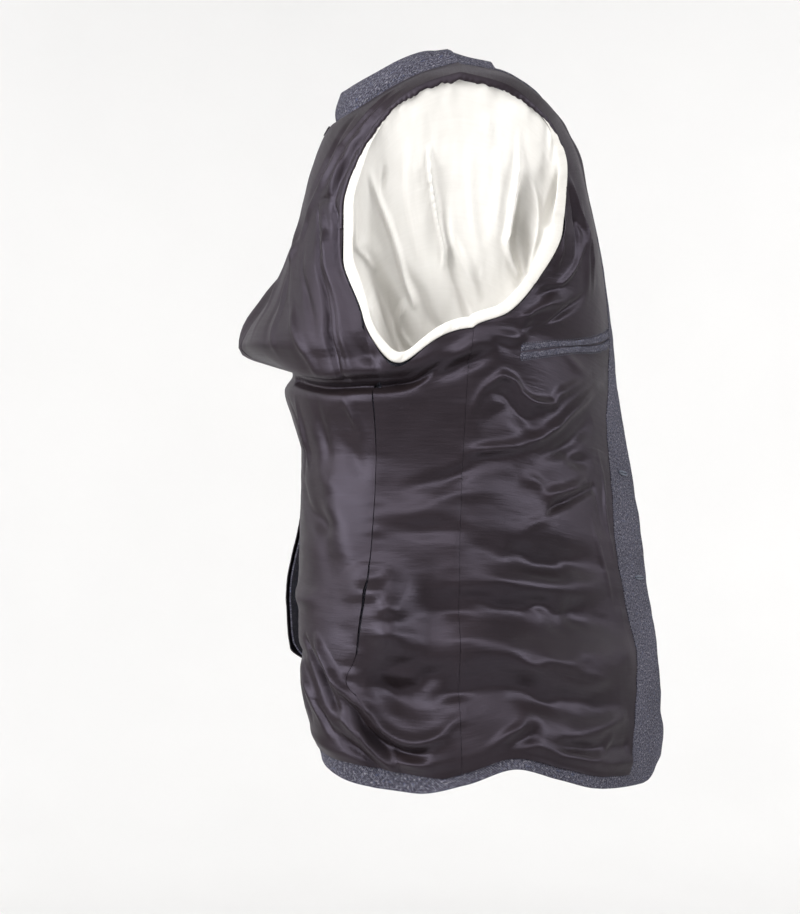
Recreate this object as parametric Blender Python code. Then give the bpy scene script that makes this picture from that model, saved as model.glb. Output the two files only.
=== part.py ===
"""A man's sport coat, worn inside out: satin lining outside, tweed inside, sleeves left pulled inwards.

Metres, +Z up. The coat's front faces -Y and its left side is -X. The origin is the middle of the neck
opening, level with the tops of the shoulders, where a wearer's neck and shoulders hold the coat up.

Every body piece is a thin wall on one skin. The skin runs round half the coat by "a" (0 front edge,
2 side-front seam, 3 side-back seam, 4 centre back) and down it by "v" (0 shoulder seam, 1 hem).
"""
import bpy
from math import cos, exp, hypot, log, pi, radians, sin, sqrt
from mathutils import Vector

# Cloth and the gaps between pieces
LINING = 0.0010
TWEED = 0.0016
LAYER = 0.0003         # from the skin to the cloth on either side of it
PIECE = 0.0004         # between two cloths that lie on each other

# Places on the skin, as a or v
SIDE_FRONT, SIDE_BACK, CENTRE_BACK = 2.0, 3.0, 4.0
UNDERARM = 0.46
LENGTH = 0.75            # of the coat, shoulder seam to hem, for turning metres into v
UNDERARM_LOW, UNDERARM_LOW_AT, UNDERARM_END = 0.044, 0.72, 0.55
GORGE, BREAK = 0.06, 0.48
VENT_TOP = 0.70
HEM_TURN = 0.976
CORNER_V, CORNER_A = 0.068, 0.36     # rounded lower front corner
NECK_CORNER = 0.25

ROWS = (
    .0005, .03, .06, .12, .18, .215, .25, .33, .40, .43, .46, .48, .495, .51, .525, .55,
    .60, .70, .79, .87, .94, .976, 1,
)

# Four rails carry the skin. w is the distance from the middle plane; turn is the way that the cloth
# runs round the body (0 outwards, 90 backwards, 180 inwards) and dip how far it runs downhill, degrees.
COLUMNS = ("v", "w", "y", "z", "turn", "dip")
FRONT_RAIL = (
    (0.00, .082, -.050, -.005, 0, 12),
    (0.06, .072, -.090, -.010, 0, 15),
    (0.12, .060, -.134, -.036, 2, 17),
    (0.18, .053, -.156, -.070, 4, 13),
    (0.25, .046, -.178, -.122, 6, 7),
    (0.33, .038, -.199, -.200, 8, 3),
    (0.40, .032, -.208, -.265, 12, 0),
    (0.46, .028, -.214, -.325, 18, 0),
    (0.60, .022, -.234, -.445, 20, 0),
    (0.75, .018, -.250, -.555, 20, 0),
    (0.90, .018, -.262, -.665, 20, 0),
    (1.00, .020, -.262, -.748, 20, 0),
)
SIDE_FRONT_RAIL = (
    (0.00, .236, -.048, -.037, 0, 14),
    (0.06, .232, -.091, -.048, 6, 24),
    (0.12, .222, -.120, -.067, 12, 28),
    (0.18, .207, -.141, -.090, 20, 22),
    (0.25, .196, -.153, -.125, 30, 12),
    (0.33, .190, -.150, -.185, 42, 6),
    (0.40, .197, -.122, -.240, 62, 2),
    (0.43, .205, -.096, -.268, 74, 0),
    (0.46, .211, -.062, -.283, 84, 0),
    (0.60, .203, -.052, -.403, 85, 0),
    (0.75, .215, -.048, -.521, 85, 0),
    (0.90, .226, -.048, -.638, 85, 0),
    (1.00, .230, -.050, -.732, 85, 0),
)
SIDE_BACK_RAIL = (
    (0.00, .236, -.048, -.037, 180, -14),
    (0.06, .234, -.020, -.045, 175, -24),
    (0.12, .228, .006, -.058, 168, -26),
    (0.18, .219, .029, -.080, 160, -20),
    (0.25, .211, .049, -.110, 150, -12),
    (0.33, .203, .067, -.165, 135, -5),
    (0.40, .203, .067, -.215, 122, 0),
    (0.46, .211, .046, -.275, 106, 0),
    (0.60, .201, .034, -.403, 106, 0),
    (0.75, .213, .040, -.521, 106, 0),
    (0.90, .219, .054, -.632, 110, 0),
    (1.00, .211, .042, -.728, 112, 0),
)
BACK_RAIL = (
    (0.00, .082, -.050, -.004, 180, -12),
    (0.06, .080, -.015, -.013, 180, -14),
    (0.12, .076, .016, -.027, 178, -15),
    (0.18, .060, .048, -.045, 176, -11),
    (0.22, .034, .069, -.055, 178, -6),
    (0.25, .000, .078, -.058, 180, -3),
    (0.33, .000, .104, -.125, 180, 0),
    (0.40, .000, .112, -.190, 180, 0),
    (0.46, .000, .115, -.250, 180, 0),
    (0.60, .000, .113, -.390, 180, 0),
    (0.75, .000, .115, -.510, 180, 0),
    (0.90, .000, .108, -.625, 180, 0),
    (1.00, .000, .080, -.706, 180, 0),
)

# The big fold across the back, as v, how far the cloth stands out and how far it hangs down
BACK_FOLD = (
    (.36, .000, .000), (.42, .018, .000), (.45, .035, .007), (.475, .058, .015), (.487, .063, .016),
    (.497, .055, .015), (.510, .030, .011), (.520, .010, .006), (.530, .009, .002), (.548, .018, .000),
    (.575, .011, .000), (.61, .000, .000),
)
FOLD_AROUND = ((1.3, 0), (2.0, .05), (2.6, .10), (3.0, .16), (3.4, .36), (3.75, .80), (4.0, 1.0))

# How much higher than its rails the hem lies, at each a
HEM_RISE = (
    (.3, 0), (.9, -.003), (1.3, .006), (1.65, .016), (2.0, 0), (2.5, -.010), (2.9, -.008), (3.4, .006),
    (4.0, 0),
)

# Where the facing meets the lining, as a at each v
FACING_SEAM = (
    (0, .10), (.40, .14), (.46, .22), (.52, .42), (.60, .50), (.68, .56), (.76, .47), (.84, .44),
    (.92, .52), (1, .62),
)

# Lapel, folded inwards at the roll line: its width at each v, in metres
LAPEL_ROLL = 0.006
LAPEL_WIDTH = ((.06, .034), (.12, .078), (.18, .082), (.30, .066), (.40, .040), (.48, .022))

# Collar: how far each stretch leans inwards as it stands up, degrees, from the front end to centre back
COLLAR_STAND, COLLAR_FALL, COLLAR_ROLL = 0.031, 0.026, 0.005
COLLAR_LEAN = ((0, 62), (.25, 60), (.5, 52), (.75, 22), (1, 6))
COLLAR_SEAT, COLLAR_END = 0.0022, 0.55
NECK_MIDDLE_Y, NECK_SQUARE = -0.02, 1.0

# Sleeves, hanging inside: the tube's sections down to the cuff, as z, w, y, half width, half depth
SLEEVE = (
    (-.365, .170, -.022, .086, .021),
    (-.460, .168, -.026, .080, .020),
    (-.560, .172, -.030, .074, .019),
    (-.650, .176, -.033, .070, .018),
)
BORDER_WIDTH, BORDER_WIDTH_TOP, BORDER_THICK, BORDER_GAP = 0.0105, 0.0035, 0.0030, 0.0012
SLEEVE_SEAT, UNDER_SEAT, SLEEVE_BACK = 0.0022, -0.0014, 0.0041

# Inner breast pocket: its slot, as a and v, and its jets' width
POCKET = ((.20, .421), (.86, .445), (1.14, .460), (1.40, .475), (1.60, .485))
JET, JET_SEAT, JET_THICK = 0.0065, 0.0015, 0.0020

SIDE_COLUMNS = 4
TAB, BACK_WIDTH = 0.032, 0.24    # half of the neck tab, and half of the back there

BUTTON_R, BUTTON_THICK, BUTTON_SEAT = 0.0105, 0.0035, 0.0008
BUTTON_A, BUTTON_V = 0.15, (.580, .725)


def along(table, at, column=1):
    """A table's column at any place between its rows: smooth, with no overshoot."""
    xs = [row[0] for row in table]
    ys = [row[column] for row in table]
    if at <= xs[0]:
        return ys[0]
    if at >= xs[-1]:
        return ys[-1]
    i = max(k for k in range(len(xs) - 1) if xs[k] <= at)
    slope = [(ys[k + 1] - ys[k]) / (xs[k + 1] - xs[k]) for k in range(len(xs) - 1)]

    def tangent(k):
        if k in (0, len(xs) - 1):
            return slope[0 if k == 0 else -1]
        before, after = slope[k - 1], slope[k]
        return 0.0 if before * after <= 0 else 2 * before * after / (before + after)

    step = xs[i + 1] - xs[i]
    t = (at - xs[i]) / step
    h00, h10 = (1 + 2 * t) * (1 - t) ** 2, t * (1 - t) ** 2
    h01, h11 = t * t * (3 - 2 * t), t * t * (t - 1)
    return h00 * ys[i] + h10 * step * tangent(i) + h01 * ys[i + 1] + h11 * step * tangent(i + 1)


def ease(t):
    """0 to 1, smoothly, as t goes from 0 to 1."""
    t = min(1.0, max(0.0, t))
    return t * t * (3 - 2 * t)


def rail(table, v):
    """A rail's point, and the way that the cloth runs across it."""
    w, y, z, turn, dip = (along(table, v, COLUMNS.index(name)) for name in COLUMNS[1:])
    turn, dip = radians(turn), radians(dip)
    return Vector((w, y, z)), Vector((cos(turn) * cos(dip), sin(turn) * cos(dip), -sin(dip)))


def span(a):
    """The two rails that carry this stretch, and how far between them it is."""
    if a <= SIDE_FRONT:
        return FRONT_RAIL, SIDE_FRONT_RAIL, a / SIDE_FRONT
    if a <= SIDE_BACK:
        return SIDE_FRONT_RAIL, SIDE_BACK_RAIL, a - SIDE_FRONT
    return SIDE_BACK_RAIL, BACK_RAIL, a - SIDE_BACK


def skin(a, v, side):
    """A point of the skin as (w, y, z)."""
    first, second, s = span(a)
    p0, d0 = rail(first, v)
    p3, d3 = rail(second, v)
    if a > SIDE_FRONT and a <= SIDE_BACK:
        turn = radians(96)
        d3 = Vector((cos(turn), sin(turn), 0))
    reach = 0.37 * (p3 - p0).length
    p1, p2 = p0 + d0 * reach, p3 - d3 * reach
    r = 1 - s
    point = p0 * r ** 3 + p1 * 3 * r * r * s + p2 * 3 * r * s * s + p3 * s ** 3
    tangent = (p1 - p0) * r * r + (p2 - p1) * 2 * r * s + (p3 - p2) * s * s
    flat = hypot(tangent.x, tangent.y) or 1.0
    outward = Vector((tangent.y / flat, -tangent.x / flat, 0))
    amount = along(FOLD_AROUND, a)
    if side > 0:
        amount *= 1 + 0.10 * exp(-(((point.x - 0.04) / 0.03) ** 2))
    point += outward * along(BACK_FOLD, v, 1) * amount
    point.z += hem_wave(a, v) - along(BACK_FOLD, v, 2) * amount
    point += outward * vent_push(a, v, side)
    return point


def hem_wave(a, v):
    """The hem hangs a little uneven: how much higher it lies, most at the hem itself."""
    return along(HEM_RISE, a) * ease((v - .80) / .20)


def vent_push(a, v, side):
    """The vent's two edges part: the right one stands out, the left one lies a little in."""
    down = ease((v - VENT_TOP + .03) / .09) * (1 - ease((v - .84) / .10))
    return down * ease((a - 3.45) / .55) * (0.013 if side > 0 else -0.003)


def over_shoulder(a):
    """The column that meets this one at the shoulder seam."""
    if a <= SIDE_FRONT:
        return SIDE_BACK + 1 - a / SIDE_FRONT
    return SIDE_FRONT * (CENTRE_BACK - a)


def on_skin(a, v, off, side):
    """A point off the skin by a distance, outwards."""
    step = 0.004
    here = skin(a, v, side)
    low, high = max(0.0, a - step), min(CENTRE_BACK, a + step)
    for seam in (SIDE_FRONT, SIDE_BACK):
        if low < seam < high:
            low, high = (low, seam) if a <= seam else (seam, high)
    round_way = skin(high, v, side) - skin(low, v, side)
    above = skin(a, v - step, side) if v >= step else skin(over_shoulder(a), step - v, side)
    down_way = skin(a, min(1.0, v + step), side) - above
    normal = down_way.cross(round_way).normalized()
    return here + normal * off


def wall(name, grid_out, grid_in, side, cloth):
    """A closed wall between two like grids of points in half-coat coordinates."""
    rows, columns = len(grid_out), len(grid_out[0])
    points = [p for grid in (grid_out, grid_in) for row in grid for p in row]
    verts = [(side * p[0], p[1], p[2]) for p in points]
    inner = rows * columns

    def at(i, j):
        return i * columns + j

    faces = []
    for i in range(rows - 1):
        for j in range(columns - 1):
            q = (at(i, j), at(i, j + 1), at(i + 1, j + 1), at(i + 1, j))
            faces += [(q[0], q[1], q[2]), (q[0], q[2], q[3])]
            q = [inner + k for k in q]
            faces += [(q[0], q[2], q[1]), (q[0], q[3], q[2])]
    rim = [at(0, j) for j in range(columns)] + [at(i, columns - 1) for i in range(1, rows)]
    rim += [at(rows - 1, j) for j in range(columns - 2, -1, -1)] + [at(i, 0) for i in range(rows - 2, 0, -1)]
    for k, first in enumerate(rim):
        second = rim[(k + 1) % len(rim)]
        faces += [(first, inner + first, second), (second, inner + first, inner + second)]
    volume = sum(Vector(verts[f[0]]).dot(Vector(verts[f[1]]).cross(Vector(verts[f[2]]))) for f in faces)
    if volume < 0:
        faces = [f[::-1] for f in faces]
    return add(name, verts, faces, cloth)


def add(name, verts, faces, cloth):
    mesh = bpy.data.meshes.new(name)
    mesh.from_pydata([tuple(v) for v in verts], [], faces)
    mesh.update()
    mesh.shade_smooth()
    mesh.set_sharp_from_angle(angle=radians(35))
    mesh.materials.append(CLOTHS[cloth])
    made = bpy.data.objects.new(name, mesh)
    bpy.context.scene.collection.objects.link(made)
    return made


def material(name, colour, roughness):
    made = bpy.data.materials.new(name)
    made.use_nodes = True
    shader = made.node_tree.nodes["Principled BSDF"]
    shader.inputs["Base Color"].default_value = (*colour, 1)
    shader.inputs["Roughness"].default_value = roughness
    shader.inputs["Metallic"].default_value = 0
    return made


CLOTHS = {}


def make_cloths():
    CLOTHS["tweed"] = material("tweed", (0.045, 0.052, 0.070), 0.95)
    CLOTHS["lining"] = material("dark_satin", (0.028, 0.022, 0.030), 0.40)
    CLOTHS["sleeve_lining"] = material("pale_satin", (0.80, 0.77, 0.72), 0.45)
    CLOTHS["button"] = material("horn", (0.030, 0.026, 0.028), 0.35)


def corner_start(v):
    """The rounded lower front corner: where the front edge begins at this v."""
    past = (v - (1 - CORNER_V)) / CORNER_V
    return 0.0 if past <= 0 else CORNER_A * (1 - sqrt(max(0.0, 1 - past * past)))


def facing_columns(v):
    """The facing's and shell's columns from the front edge to the facing seam."""
    start, seam = corner_start(v), along(FACING_SEAM, v)
    return [start, seam]


def lining_columns(v, count=4):
    """The columns from the facing seam to the side-front seam."""
    seam = along(FACING_SEAM, v)
    return [seam + (SIDE_FRONT - seam) * k / count for k in range(count + 1)]


def grid_between(columns_at, rows, off, side, shrink=(0, 0), point=on_skin):
    """Points off the skin on these rows; the first and last columns draw back by shrink."""
    grid = []
    for v in rows:
        line = list(columns_at(v))
        line[0] += shrink[0]
        line[-1] -= shrink[1]
        grid.append([point(a, v, off, side) for a in line])
    return grid


def panel(name, columns_at, rows, offs, side, cloth, shrink=(0, 0)):
    outer = grid_between(columns_at, rows, offs[1], side, shrink)
    inner = grid_between(columns_at, rows, offs[0], side, shrink)
    return wall(name, outer, inner, side, cloth)


OUTSIDE_LINING = (LAYER, LAYER + LINING)
OUTSIDE_TWEED = (LAYER, LAYER + TWEED)
INSIDE_TWEED = (-LAYER - TWEED, -LAYER)
SEAM_A = 0.0016        # half of the gap at a seam, as a


def lapel_point(t, v, off, side):
    """A point past the roll line by t metres: round the roll, then back inside the front."""
    root, beside = skin(0.0, v, side), skin(0.02, v, side)
    edge_way = (root - beside).normalized()
    normal = (on_skin(0.0, v, 1.0, side) - root).normalized()
    turned = LAPEL_ROLL * pi
    if t <= turned:
        angle = t / LAPEL_ROLL
        radius = LAPEL_ROLL + off
        centre = root - normal * LAPEL_ROLL
        return centre + normal * radius * cos(angle) + edge_way * radius * sin(angle)
    back = (t - turned) / (beside - root).length * 0.02
    there = skin(back, v, side)
    inward = (on_skin(back, v, 1.0, side) - there).normalized()
    return there - inward * (2 * LAPEL_ROLL + off)


def lapel(name, side, offs, cloth):
    """The part past the roll line, from the gorge down to the break."""
    turned = LAPEL_ROLL * pi
    grids = []
    for off in offs[::-1]:
        grid = []
        for v in (v for v in ROWS if GORGE <= v <= BREAK):
            width = along(LAPEL_WIDTH, v)
            end = max(width, turned + .006)
            reach = [PIECE, turned / 3, 2 * turned / 3, turned, end]
            grid.append([lapel_point(t, v, off, side) for t in reach])
        grids.append(grid)
    return wall(name, grids[0], grids[1], side, cloth)


def side_top(a):
    """Where the side body stops below the armhole, as v."""
    s = (a - SIDE_FRONT) / (SIDE_BACK - SIDE_FRONT)
    bent = s ** (log(0.5) / log(UNDERARM_LOW_AT))
    return UNDERARM + UNDERARM_LOW * max(0.0, sin(pi * bent)) ** 0.8


def side_grid(rows, off, side, columns=SIDE_COLUMNS):
    """The side body: its rows start on the armhole's lower edge and level out below it."""
    grid = []
    for v in rows:
        line = []
        for k in range(columns + 1):
            a = SIDE_FRONT + k / columns
            inset = SEAM_A if k == 0 else -SEAM_A if k == columns else 0
            squeeze = max(0.0, (UNDERARM_END - v) / (UNDERARM_END - UNDERARM))
            line.append(on_skin(a + inset, v + (side_top(a) - UNDERARM) * squeeze, off, side))
        grid.append(line)
    return grid


def armhole_centre(side):
    lowest = SIDE_FRONT + UNDERARM_LOW_AT
    top, low = skin(SIDE_FRONT, 0.0, side), skin(lowest, side_top(lowest), side)
    return (top + low) / 2 + Vector((-0.012, 0, 0))


def border_width(p):
    """The pale border is narrow over the shoulder and full below it."""
    return BORDER_WIDTH_TOP + (BORDER_WIDTH - BORDER_WIDTH_TOP) * ease((abs(p - 0.5) - .08) / .16)


def into_armhole(edge, centre, out):
    """The way across the opening from its edge, along the skin there."""
    way = centre - edge
    return (way - out * way.dot(out)).normalized()


def armhole_marks():
    """The panels' own corners round the armhole, as (a, v): up the front, down the back, then below."""
    rows = [v for v in ROWS[1:] if v <= UNDERARM]
    marks = [(SIDE_FRONT, v) for v in rows[::-1]] + [(SIDE_FRONT, 0.0)] + [(SIDE_BACK, v) for v in rows]
    low = [SIDE_BACK - k / SIDE_COLUMNS for k in range(1, SIDE_COLUMNS)]
    return marks + [(a, side_top(a)) for a in low]


def loop_point(a, v, side):
    """A point of the armhole's edge, the border's width there and the way out."""
    if a in (SIDE_FRONT, SIDE_BACK):
        part = v / UNDERARM / 2
        edge = skin(SIDE_FRONT, v, side) if a == SIDE_FRONT else rail(SIDE_BACK_RAIL, v)[0]
        return edge, border_width(0.5 - part), way_out(a, v, side)
    edge = skin(a, v, side)
    return edge, BORDER_WIDTH, way_out(a, v, side)


def way_out(a, v, side):
    """The skin's outward direction at the armhole's edge, mostly sideways."""
    if a == SIDE_BACK:
        a += 0.01
    out = on_skin(a, v, 1.0, side) - skin(a, v, side)
    out.z *= 0.3
    return (out + Vector((0.8, 0, 0))).normalized()


def border(side, name):
    """A rolled strip round the armhole, just inside the lining's edge."""
    centre = armhole_centre(side)
    marks = armhole_marks()
    count = len(marks)
    verts, faces = [], []
    section = ((0.05, 0.0), (0.35, 1.0), (0.75, 0.9), (1.0, 0.15), (0.6, -0.75), (0.2, -0.6))
    for a, v in marks:
        edge, width, out = loop_point(a, v, side)
        inward = into_armhole(edge, centre, out)
        thick = BORDER_THICK * 0.5 * (0.5 + 0.5 * width / BORDER_WIDTH)
        for across, high in section:
            p = edge + inward * (BORDER_GAP + width * across) + out * (high * thick)
            verts.append((side * p.x, p.y, p.z))
    n = len(section)
    for k in range(count):
        for m in range(n):
            a, b = k * n + m, k * n + (m + 1) % n
            c, d = ((k + 1) % count) * n + (m + 1) % n, ((k + 1) % count) * n + m
            faces += [(a, b, c), (a, c, d)]
    volume = sum(Vector(verts[f[0]]).dot(Vector(verts[f[1]]).cross(Vector(verts[f[2]]))) for f in faces)
    if volume < 0:
        faces = [f[::-1] for f in faces]
    return add(name, verts, faces, "sleeve_lining")


def sleeve_section(z, angle):
    """A point of the hanging tube: angle 0 at the front seam, 180 at the back, inwards between."""
    rows = [(-row[0],) + row[1:] for row in SLEEVE]
    w, y, half_width, half_depth = (along(rows, -z, k) for k in (1, 2, 3, 4))
    return Vector((w - half_depth * sin(angle), y - half_width * cos(angle), z))


def sleeve_start(edge, width, out, side, seat):
    """Where a sleeve's cloth leaves the armhole: inside the border, a little in from the skin."""
    inward = into_armhole(edge, armhole_centre(side), out)
    return edge + inward * (BORDER_GAP + width + seat) - out * SLEEVE_BACK


def low_start(p, side):
    """The same below the armhole, straight between the side body's corners."""
    corners = []
    k = min(SIDE_COLUMNS - 1, int(p * SIDE_COLUMNS))
    for column in (k, k + 1):
        a = SIDE_FRONT + column / SIDE_COLUMNS
        edge, width, out = loop_point(a, side_top(a), side)
        corners.append(sleeve_start(edge, width, out, side, UNDER_SEAT))
    return corners[0].lerp(corners[1], p * SIDE_COLUMNS - k)


def hang(start, end, start_way, t):
    """A hanging line from the armhole's edge to the top of the tube."""
    drop = (end - start).length
    first = start + start_way * drop * 0.35
    second = end + Vector((0, 0, 1)) * drop * 0.40
    r = 1 - t
    return start * r ** 3 + first * 3 * r * r * t + second * 3 * r * t * t + end * t ** 3


SLEEVE_DOWN = (.12, .30, .55, .80)
CUFF_ROWS = (-.44, -.54, SLEEVE[-1][0])


def sleeve_line(p, side, upper):
    """One line of a sleeve, from the armhole to the cuff."""
    corner_way = Vector((-0.62, 0, -0.78))
    middle = sin(pi * p)
    if upper:
        a, v = (SIDE_FRONT, UNDERARM * (1 - p * 2)) if p <= 0.5 else (SIDE_BACK, UNDERARM * (p * 2 - 1))
        edge, width, out = loop_point(a, v, side)
        start = sleeve_start(edge, width, out, side, SLEEVE_SEAT)
        start_way = corner_way.lerp(Vector((-0.50, 0, -0.87)), middle)
        angle = pi * (0.02 + 0.96 * p)
    else:
        start = low_start(min(0.94, max(0.06, p)), side)
        start_way = corner_way.lerp(Vector((-0.80, 0, -0.60)), middle)
        angle = -pi * (0.02 + 0.96 * p)
    top = sleeve_section(SLEEVE[0][0], angle)
    line = [start] + [hang(start, top, start_way, t) for t in SLEEVE_DOWN] + [top]
    return line + [sleeve_section(z, angle) for z in CUFF_ROWS]


def sleeve_panel(name, side, upper, offs, cloth, columns):
    marks = [k / columns for k in range(columns + 1)]
    lines = [sleeve_line(m, side, upper) for m in marks]
    rows = len(lines[0])
    grids = []
    for off in offs[::-1]:
        grid = []
        for i in range(rows):
            row = []
            for j in range(len(lines)):
                before, after = lines[max(0, j - 1)][i], lines[min(len(lines) - 1, j + 1)][i]
                over, under = lines[j][max(0, i - 1)], lines[j][min(rows - 1, i + 1)]
                normal = (after - before).cross(under - over).normalized()
                row.append(lines[j][i] + normal * off * (1 if upper else -1))
            grid.append(row)
        grids.append(grid)
    return wall(name, grids[0], grids[1], side, cloth)


def neck_marks():
    """The panels' own corners along the neckline, from the collar's front end to centre back."""
    front = [(FRONT_RAIL, v) for v in ROWS[1:] if v <= GORGE][::-1]
    return front + [(BACK_RAIL, 0.0)] + [(BACK_RAIL, v) for v in ROWS[1:] if v <= NECK_CORNER]


def neck_frame(table, v):
    """A point of the neckline, and the level way in from it towards the neck."""
    here = rail(table, v)[0]
    middle = Vector((0, NECK_MIDDLE_Y, here.z))
    inward = middle - here
    inward.x *= NECK_SQUARE
    return here, inward.normalized()


def collar(name, inner_off, outer_off):
    """A band on the neckline: it stands up, rolls inwards and falls inside, both halves in one."""
    marks = neck_marks()
    last = len(marks) - 1
    spots = [(-1, k) for k in range(last + 1)] + [(1, k) for k in range(last - 1, -1, -1)]
    grids = []
    for off in (outer_off, inner_off):
        grid = []
        for half, k in spots:
            here, inward = neck_frame(*marks[k])
            u = k / last
            lean = radians(along(COLLAR_LEAN, u))
            up = Vector((0, 0, 1)) * cos(lean) + inward * sin(lean)
            across = inward * cos(lean) - Vector((0, 0, 1)) * sin(lean)
            here = here + inward * COLLAR_SEAT
            ends = COLLAR_END + (1 - COLLAR_END) * ease(u / 0.3)
            stand, fall = COLLAR_STAND * ends, COLLAR_FALL * ends
            section = [(-off, e) for e in (0.0, stand * 0.55, stand)]
            for angle in (60, 120, 180):
                t = radians(angle)
                radius = COLLAR_ROLL + off
                section.append((COLLAR_ROLL - radius * cos(t), stand + radius * sin(t)))
            section.append((2 * COLLAR_ROLL + off, stand - fall))
            row = []
            for d, e in section:
                p = here + across * d + up * e
                row.append(Vector((half * p.x, p.y, p.z)))
            grid.append(row)
        grids.append(grid)
    return wall(name, grids[0], grids[1], 1, "tweed")


def on_faces(columns_at, a, v, off, side):
    """A point on a panel's own flat faces, moved out by off."""
    above = max(row for row in ROWS if row <= v)
    below = min(row for row in ROWS if row > v)
    t = (v - above) / (below - above)
    tops, lows = columns_at(above), columns_at(below)
    here = [top + (low - top) * t for top, low in zip(tops, lows)]
    k = max(i for i in range(len(here) - 1) if here[i] <= a or i == 0)
    s = (a - here[k]) / (here[k + 1] - here[k])
    ends = []
    for columns, row in ((tops, above), (lows, below)):
        ends.append(on_skin(columns[k], row, off, side).lerp(on_skin(columns[k + 1], row, off, side), s))
    return ends[0].lerp(ends[1], t)


def jet(name, low, side):
    """One jet of the inner breast pocket, lying on the lining."""
    count = 12
    seat = LAYER + LINING + JET_SEAT
    grids = []
    for off in (seat + JET_THICK, seat):
        grid = []
        for edge in (0, 1):
            row = []
            for k in range(count + 1):
                a = POCKET[0][0] + (POCKET[-1][0] - POCKET[0][0]) * k / count
                shift = (PIECE / 2 + edge * JET) / LENGTH
                v = along(POCKET, a) + (shift if low else -shift)
                row.append(on_faces(lining_columns, a, v, off, side))
            grid.append(row)
        grids.append(grid)
    return wall(name, grids[0], grids[1], side, "tweed")


def button(name, v, side):
    """A sewn-through button on the shell's face, inside the right front."""
    seat = -LAYER - TWEED - BUTTON_SEAT
    face = on_faces(facing_columns, BUTTON_A, v, seat, side)
    sideways = on_faces(facing_columns, BUTTON_A + .05, v, seat, side) - face
    down = on_faces(facing_columns, BUTTON_A, v + .01, seat, side) - face
    inward = sideways.cross(down).normalized()
    across = Vector((0, 0, 1)).cross(inward).normalized()
    up = inward.cross(across)
    verts, faces = [], []
    count = 16
    rings = ((0.0, 0.90), (0.35, 1.0), (1.0, 0.94))
    for depth, scale in rings:
        for k in range(count):
            t = 2 * pi * k / count
            p = face + inward * BUTTON_THICK * depth + (across * cos(t) + up * sin(t)) * BUTTON_R * scale
            verts.append((side * p.x, p.y, p.z))
    for ring in range(len(rings) - 1):
        for k in range(count):
            a0, b0 = ring * count + k, ring * count + (k + 1) % count
            faces += [(a0, b0, b0 + count), (a0, b0 + count, a0 + count)]
    faces.append(tuple(range(count))[::-1])
    last = (len(rings) - 1) * count
    faces.append(tuple(last + k for k in range(count)))
    if side < 0:
        faces = [f[::-1] for f in faces]
    made = add(name, verts, faces, "button")
    return made


def back_columns(v):
    return [SIDE_BACK + k / 5 for k in range(6)]


def tab():
    """A small plain tab at the back of the neck, under the collar."""
    seat = LAYER + LINING + PIECE
    grids = []
    for off in (seat + LINING, seat):
        grid = []
        for v in (.262, .276):
            row = []
            for x in (-TAB, -TAB / 2, 0, TAB / 2, TAB):
                p = on_faces(back_columns, CENTRE_BACK - abs(x) / BACK_WIDTH, v, off, -1)
                row.append(Vector((x, p.y, p.z)))
            grid.append(row)
        grids.append(grid)
    return wall("neck_tab", grids[0], grids[1], 1, "lining")


def half_coat(side, word):
    body_rows = [v for v in ROWS if v <= HEM_TURN]
    side_rows = [v for v in ROWS if v >= UNDERARM]
    side_lining_rows = [v for v in side_rows if v <= HEM_TURN]

    def shell_columns(v):
        return facing_columns(v) + lining_columns(v)[1:]

    panel(f"shell_front_{word}", shell_columns, ROWS, INSIDE_TWEED, side, "tweed", (0, SEAM_A))
    panel(f"shell_back_{word}", back_columns, ROWS, INSIDE_TWEED, side, "tweed", (SEAM_A, SEAM_A))
    panel(f"facing_{word}", facing_columns, ROWS, OUTSIDE_TWEED, side, "tweed", (0, SEAM_A))
    panel(f"lining_front_{word}", lining_columns, body_rows, OUTSIDE_LINING, side, "lining", (SEAM_A, SEAM_A))
    panel(f"lining_back_{word}", back_columns, body_rows, OUTSIDE_LINING, side, "lining", (SEAM_A, SEAM_A))
    for name, offs, rows, cloth in (
        ("shell_side", INSIDE_TWEED, side_rows, "tweed"),
        ("lining_side", OUTSIDE_LINING, side_lining_rows, "lining"),
    ):
        grids = [side_grid(rows, off, side) for off in offs[::-1]]
        wall(f"{name}_{word}", grids[0], grids[1], side, cloth)

    def hem_columns(v):
        front = lining_columns(v)
        side_body = [SIDE_FRONT + k / SIDE_COLUMNS for k in range(1, SIDE_COLUMNS + 1)]
        return front + side_body + back_columns(v)[1:]

    panel(f"hem_{word}", hem_columns, (HEM_TURN + .0006, 1), OUTSIDE_LINING, side, "tweed", (SEAM_A, SEAM_A))
    lapel(f"lapel_shell_{word}", side, INSIDE_TWEED, "tweed")
    lapel(f"lapel_face_{word}", side, OUTSIDE_TWEED, "tweed")
    border(side, f"armhole_border_{word}")
    for upper, part, columns in ((True, "top", 8), (False, "under", 4)):
        sleeve_panel(f"sleeve_lining_{part}_{word}", side, upper, (0, LINING), "sleeve_lining", columns)
        sleeve_panel(f"sleeve_shell_{part}_{word}", side, upper, (.0014, .0014 + TWEED), "tweed", columns)


def clear_scene():
    for old in list(bpy.data.objects):
        bpy.data.objects.remove(old, do_unlink=True)


def main():
    clear_scene()
    make_cloths()
    for side, word in ((-1, "left"), (1, "right")):
        half_coat(side, word)
    collar("upper_collar", PIECE / 2, PIECE / 2 + TWEED)
    collar("under_collar", -PIECE / 2 - TWEED, -PIECE / 2)
    jet("pocket_jet_upper", False, -1)
    jet("pocket_jet_lower", True, -1)
    for v, word in zip(BUTTON_V, ("upper", "lower")):
        button(f"button_{word}", v, 1)
    tab()


main()
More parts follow.
